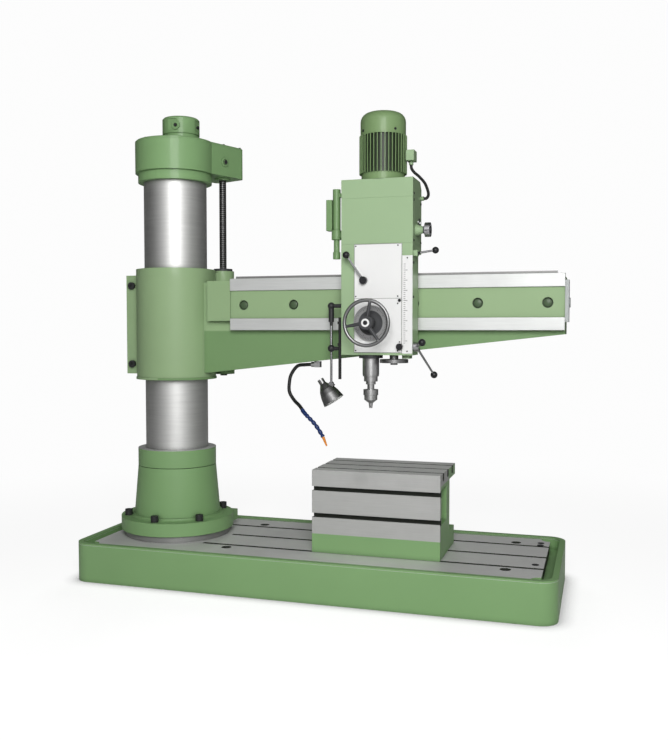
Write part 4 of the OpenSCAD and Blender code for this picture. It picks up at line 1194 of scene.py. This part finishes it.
@dataclass
class DialTrim:
    """Graduations and the raised ring of the depth dial, and the handwheel's button."""

    marks: int = 60
    face: float = -0.2832
    ring_face: float = -0.2791
    button_face: float = -0.384
    dot_step: float = 0.0022
    long_middle: float = 0.0755
    short_middle: float = 0.079
    half_size: Point = (0.0006, 0.0003, 0.0075)
    half_short: float = 0.004

    def build(self, shop: PaintShop) -> None:
        """Adds one bar for each mark, longer at every fifth, then the ring and the button.

        Args:
            shop: the mixed finishes.
        """
        x, z = WHEEL_AXIS
        angle = np.linspace(0.0, 2.0 * np.pi, self.marks, endpoint=False)
        long = np.arange(self.marks) % 5 == 0
        middle = np.where(long, self.long_middle, self.short_middle)
        out = np.stack([np.cos(angle), 0 * angle, np.sin(angle)], axis=-1)
        side = np.stack([-np.sin(angle), 0 * angle, np.cos(angle)], axis=-1)
        back = np.array([[0.0, 1.0, 0.0]] * self.marks)
        places = np.array([x, self.face, z]) + middle[:, None] * out
        width, depth, reach = self.half_size
        scale = np.where(long, reach, self.half_short)[:, None]
        frames = np.stack([side * width, back * depth, out * scale], axis=1)
        bar = rounded_bar((1.0, 1.0, 1.0), corner=0.1, steps=2)
        marks = bar.copies(places, frames)
        add_piece("dial_marks", marks, shop["ink"], "depth_dial", smooth=False)
        front = (0, -1, 0)
        ring = turned(
            [(0.0255, 0.0), (0.0495, 0.0), (0.0495, 0.0012), (0.047, 0.0016), (0.026, 0.0016)],
            sides=64, closed=True,
        ).at([(x, self.ring_face, z)], front)
        add_piece("dial_middle", ring, shop["dark"], "depth_dial")
        button = turned(
            [(0.0, 0.0), (0.0205, 0.0), (0.0205, 0.002), (0.019, 0.0035), (0.0125, 0.0035),
             (0.0118, 0.0022), (0.0, 0.0022)], sides=48,
        ).at([(x, self.button_face, z)], front)
        add_piece("wheel_button", button, shop["white"], "handwheel")
        dot = turned([(0.0, 0.0), (0.011, 0.0), (0.0104, 0.0014), (0.0, 0.002)], sides=32)
        dot = dot.at([(x, self.button_face - self.dot_step, z)], front)
        add_piece("wheel_button_middle", dot, shop["black"], "handwheel")


@dataclass
class HeadTrim:
    """Screws and an oil window on the head's right side, and the motor cowl's screws."""

    right: float = 1.424
    rows: tuple[float, float] = (-0.238, -0.064)
    upper: tuple[float, ...] = (1.8, 1.998, 2.03)
    lower: tuple[float, ...] = (1.26, 1.52, 1.69)
    window: Point = (1.424, -0.11, 1.9)
    cowl_radius: float = 0.1149
    cowl_level: float = 2.352
    cowl_angles: tuple[float, ...] = (45.0, 135.0, 225.0, 315.0)
    screw_radius: float = 0.006
    screw_height: float = 0.004

    def build(self, shop: PaintShop) -> None:
        """Adds the side's screws, the oil window and the motor's screws.

        Args:
            shop: the mixed finishes.
        """
        front = self.rows[0]
        side = [(self.right, y, z) for y in self.rows for z in self.upper]
        side += [(self.right, front, z) for z in self.lower]
        screws = socket_screw(self.screw_radius, self.screw_height).at(side, (1, 0, 0))
        add_piece("side_screws", screws, shop["oxide"], "head")
        window = turned(
            [(0, 0), (0.02, 0), (0.02, 0.004), (0.017, 0.006), (0.014, 0.006), (0.013, 0.003),
             (0, 0.0035)], sides=40,
        ).at([self.window], (1, 0, 0))
        add_piece("oil_window", window, shop["chrome"], "head")
        self.build_motor(shop)

    def build_motor(self, shop: PaintShop) -> None:
        """Adds the cowl's four screws, which point away from the motor's axis.

        Args:
            shop: the mixed finishes.
        """
        a = np.radians(self.cowl_angles)
        out = np.stack([np.cos(a), np.sin(a), 0 * a], axis=-1)
        places = np.array([*MOTOR_AXIS, self.cowl_level]) + self.cowl_radius * out
        frames = np.stack([frame_of(v) for v in out])
        screws = socket_screw(self.screw_radius, self.screw_height).copies(places, frames)
        add_piece("cowl_screws", screws, shop["oxide"], "head")


@dataclass
class LampTrim:
    """The white inside of the lamp's shade."""

    neck: Point = (0.93, -0.21, 1.1)
    rim: Point = (1.004, -0.21, 0.99)
    wall: float = 0.0006
    edge: float = 0.0008

    def build(self, shop: PaintShop) -> None:
        """Adds the liner: a thin turned wall just inside the shade.

        Args:
            shop: the mixed finishes.
        """
        axis = np.asarray(self.rim) - np.asarray(self.neck)
        end = float(np.linalg.norm(axis)) - self.edge
        inner = [(0.0128, 0.029), (0.0258, 0.0472), (0.0368, 0.065), (0.0458, 0.0898)]
        outer = [(0.0134, 0.0285), (0.0264, 0.0468), (0.0374, 0.0646), (0.0464, 0.0894)]
        wall = [*outer, (0.0554, end), (0.0554 - self.wall, end), *inner[::-1]]
        liner = turned(wall, sides=64, closed=True).at([self.neck], axis)
        add_piece("shade_liner", liner, shop["white"], "lamp_head")


# ---- studio


@dataclass(frozen=True)
class SoftLamp:
    """A square soft lamp: its name, place, aim, power in watts, and whether metal mirrors it."""

    name: str
    place: Point
    aim: Point
    power: float
    mirrored: bool = True
    side: float = 2.6

    def hang(self) -> None:
        """Adds the lamp.

        It is turned first about X by the angle between its back and the vertical, then about Z.
        """
        light = bpy.data.lights.new(self.name, "AREA")
        light.shape = "SQUARE"
        light.size = self.side
        light.energy = self.power
        made = new_object(self.name, light)
        made.location = self.place
        back = np.asarray(self.place, float) - np.asarray(self.aim, float)
        yaw = math.atan2(back[1], back[0]) + 0.5 * math.pi
        made.rotation_euler = (math.acos(back[2] / float(np.linalg.norm(back))), 0.0, yaw)
        made.visible_glossy = self.mirrored


KEY = SoftLamp("key", (2.6, -5.35, 3.25), (0.9, 0.0, 1.1), 241.0)
BACK = SoftLamp("back", (-0.6, 5.4, 3.6), (0.9, 0.0, 1.0), 80.0, mirrored=False)


def grey(tone: float) -> tuple[float, float, float, float]:
    """A neutral colour."""
    return rgba((tone, tone, tone))


@dataclass
class Studio:
    """The pale floor, the soft lamps and the camera at the photograph's angle."""

    eye: Point = (2.3222, -4.4915, 1.3603)
    pitch: float = 2.6856
    yaw: float = 17.108
    lens: float = 42.4
    sensor: float = 36.0
    far_end: float = 200.0
    white: float = 0.98
    surround: float = 0.08
    floor_half: float = 30.0
    floor_middle: float = 1.0
    floor_fade: Span = (1.8, 4.5)
    floor_pale: float = 0.9
    floor_shaded: float = 0.43
    lift: float = 0.79
    contact_shadow: float = 0.12
    contact_reach: float = 0.09
    contact_fade: Span = (0.06, 0.6)
    contact_share: float = 0.75
    mirror_axis: Point = (0.545, -0.838, 0.0)
    mirror_fade: Span = (-0.05, 0.72)
    mirror_tones: Span = (0.06, 0.84)

    def build(self) -> None:
        """Adds the floor, the lamps, the world and the camera."""
        self.floor()
        KEY.hang()
        BACK.hang()
        self.world()
        self.camera()

    def floor(self) -> None:
        """Adds a wide pale floor that keeps the machine's shadow and is white further out.

        To the camera it is the lamps' light on a grey plus an even glow, with a painted contact
        shadow right at the machine; other rays meet a plain pale floor.
        """
        material = bpy.data.materials.new("pale floor")
        g = Graph(material)
        x, y, _ = g.xyz()
        far = (((x - self.floor_middle) ** 2.0 + y**2.0) ** 0.5).ease(*self.floor_fade)
        pale = g.node("BsdfDiffuse", None, {"Color": grey(self.floor_pale)})
        shaded = g.node("BsdfDiffuse", None, {"Color": grey(self.floor_shaded)})
        lift = g.node("Emission", None, {"Strength": self.lift})
        lit = g.node("AddShader", None, {0: shaded.outputs[0], 1: lift.outputs[0]})
        open_floor = g.node("Emission", None, {"Strength": self.white})
        # Painted contact shadow: a dim glow takes over where the machine closes the floor in.
        contact_shadow = g.node("Emission", None, {"Strength": self.contact_shadow})
        close = g.crevice(self.contact_reach).ease(*self.contact_fade) * self.contact_share
        near = g.mix(close, lit, contact_shadow)
        seen = g.mix(far, near, open_floor)
        ray = g.node("LightPath").outputs["Is Camera Ray"]
        both = g.mix(ray, pale, seen)
        g.node("OutputMaterial", None, {"Surface": both.outputs[0]})
        mesh = bpy.data.meshes.new("floor")
        size = self.floor_half
        corners = [(-size, -size, 0.0), (size, -size, 0.0), (size, size, 0.0), (-size, size, 0.0)]
        mesh.from_pydata(corners, [], [(0, 1, 2, 3)])
        mesh.materials.append(material)
        made = new_object("floor", mesh)

    def world(self) -> None:
        """Sets an even surround: white to the camera, and its own tones where metal mirrors it.

        The tone that metal mirrors is the dot product of the direction with one towards the
        camera's right hand, eased from dark to white.
        """
        world = bpy.data.worlds.new("studio")
        g = Graph(world)
        path = g.node("LightPath")
        direction = g.node("TexCoord").outputs["Generated"]
        front = g.node(
            "VectorMath",
            {"operation": "DOT_PRODUCT"},
            {0: direction, 1: self.mirror_axis},
        )
        share = Value(g, front.outputs["Value"]).ease(*self.mirror_fade)
        dark, bright = self.mirror_tones
        tone = g.blend(share, grey(dark), grey(bright))
        plain = grey(1.0)
        even = g.node("Background", None, {"Color": plain, "Strength": self.surround})
        mirrored = g.node("Background", None, {"Color": tone, "Strength": 1.0})
        seen = g.node("Background", None, {"Color": plain, "Strength": self.white})
        lit = g.mix(path.outputs["Is Glossy Ray"], even, mirrored)
        both = g.mix(path.outputs["Is Camera Ray"], lit, seen)
        g.node("OutputWorld", None, {"Surface": both.outputs[0]})
        bpy.context.scene.world = world

    def camera(self) -> None:
        """Adds the camera and makes it the scene's."""
        data = bpy.data.cameras.new("camera")
        data.lens = self.lens
        data.sensor_width = self.sensor
        data.sensor_fit = "AUTO"
        data.clip_end = self.far_end
        made = new_object("camera", data)
        made.location = self.eye
        made.rotation_euler = (math.radians(90.0 - self.pitch), 0.0, math.radians(self.yaw))
        bpy.context.scene.camera = made


def main() -> None:
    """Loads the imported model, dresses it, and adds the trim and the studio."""
    logging.basicConfig(level=logging.INFO, format="%(name)s: %(message)s")
    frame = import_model()
    bpy.context.scene.view_settings.view_transform = "Standard"
    shop = PaintShop()
    shop.mix()
    shop.dress(frame["nodes"])
    Studio().build()
    for trim in (BaseTrim(), ArmTrim(), CapTrim(), DialTrim(), HeadTrim(), LampTrim()):
        trim.build(shop)
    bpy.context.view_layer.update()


if __name__ == "__main__":
    main()
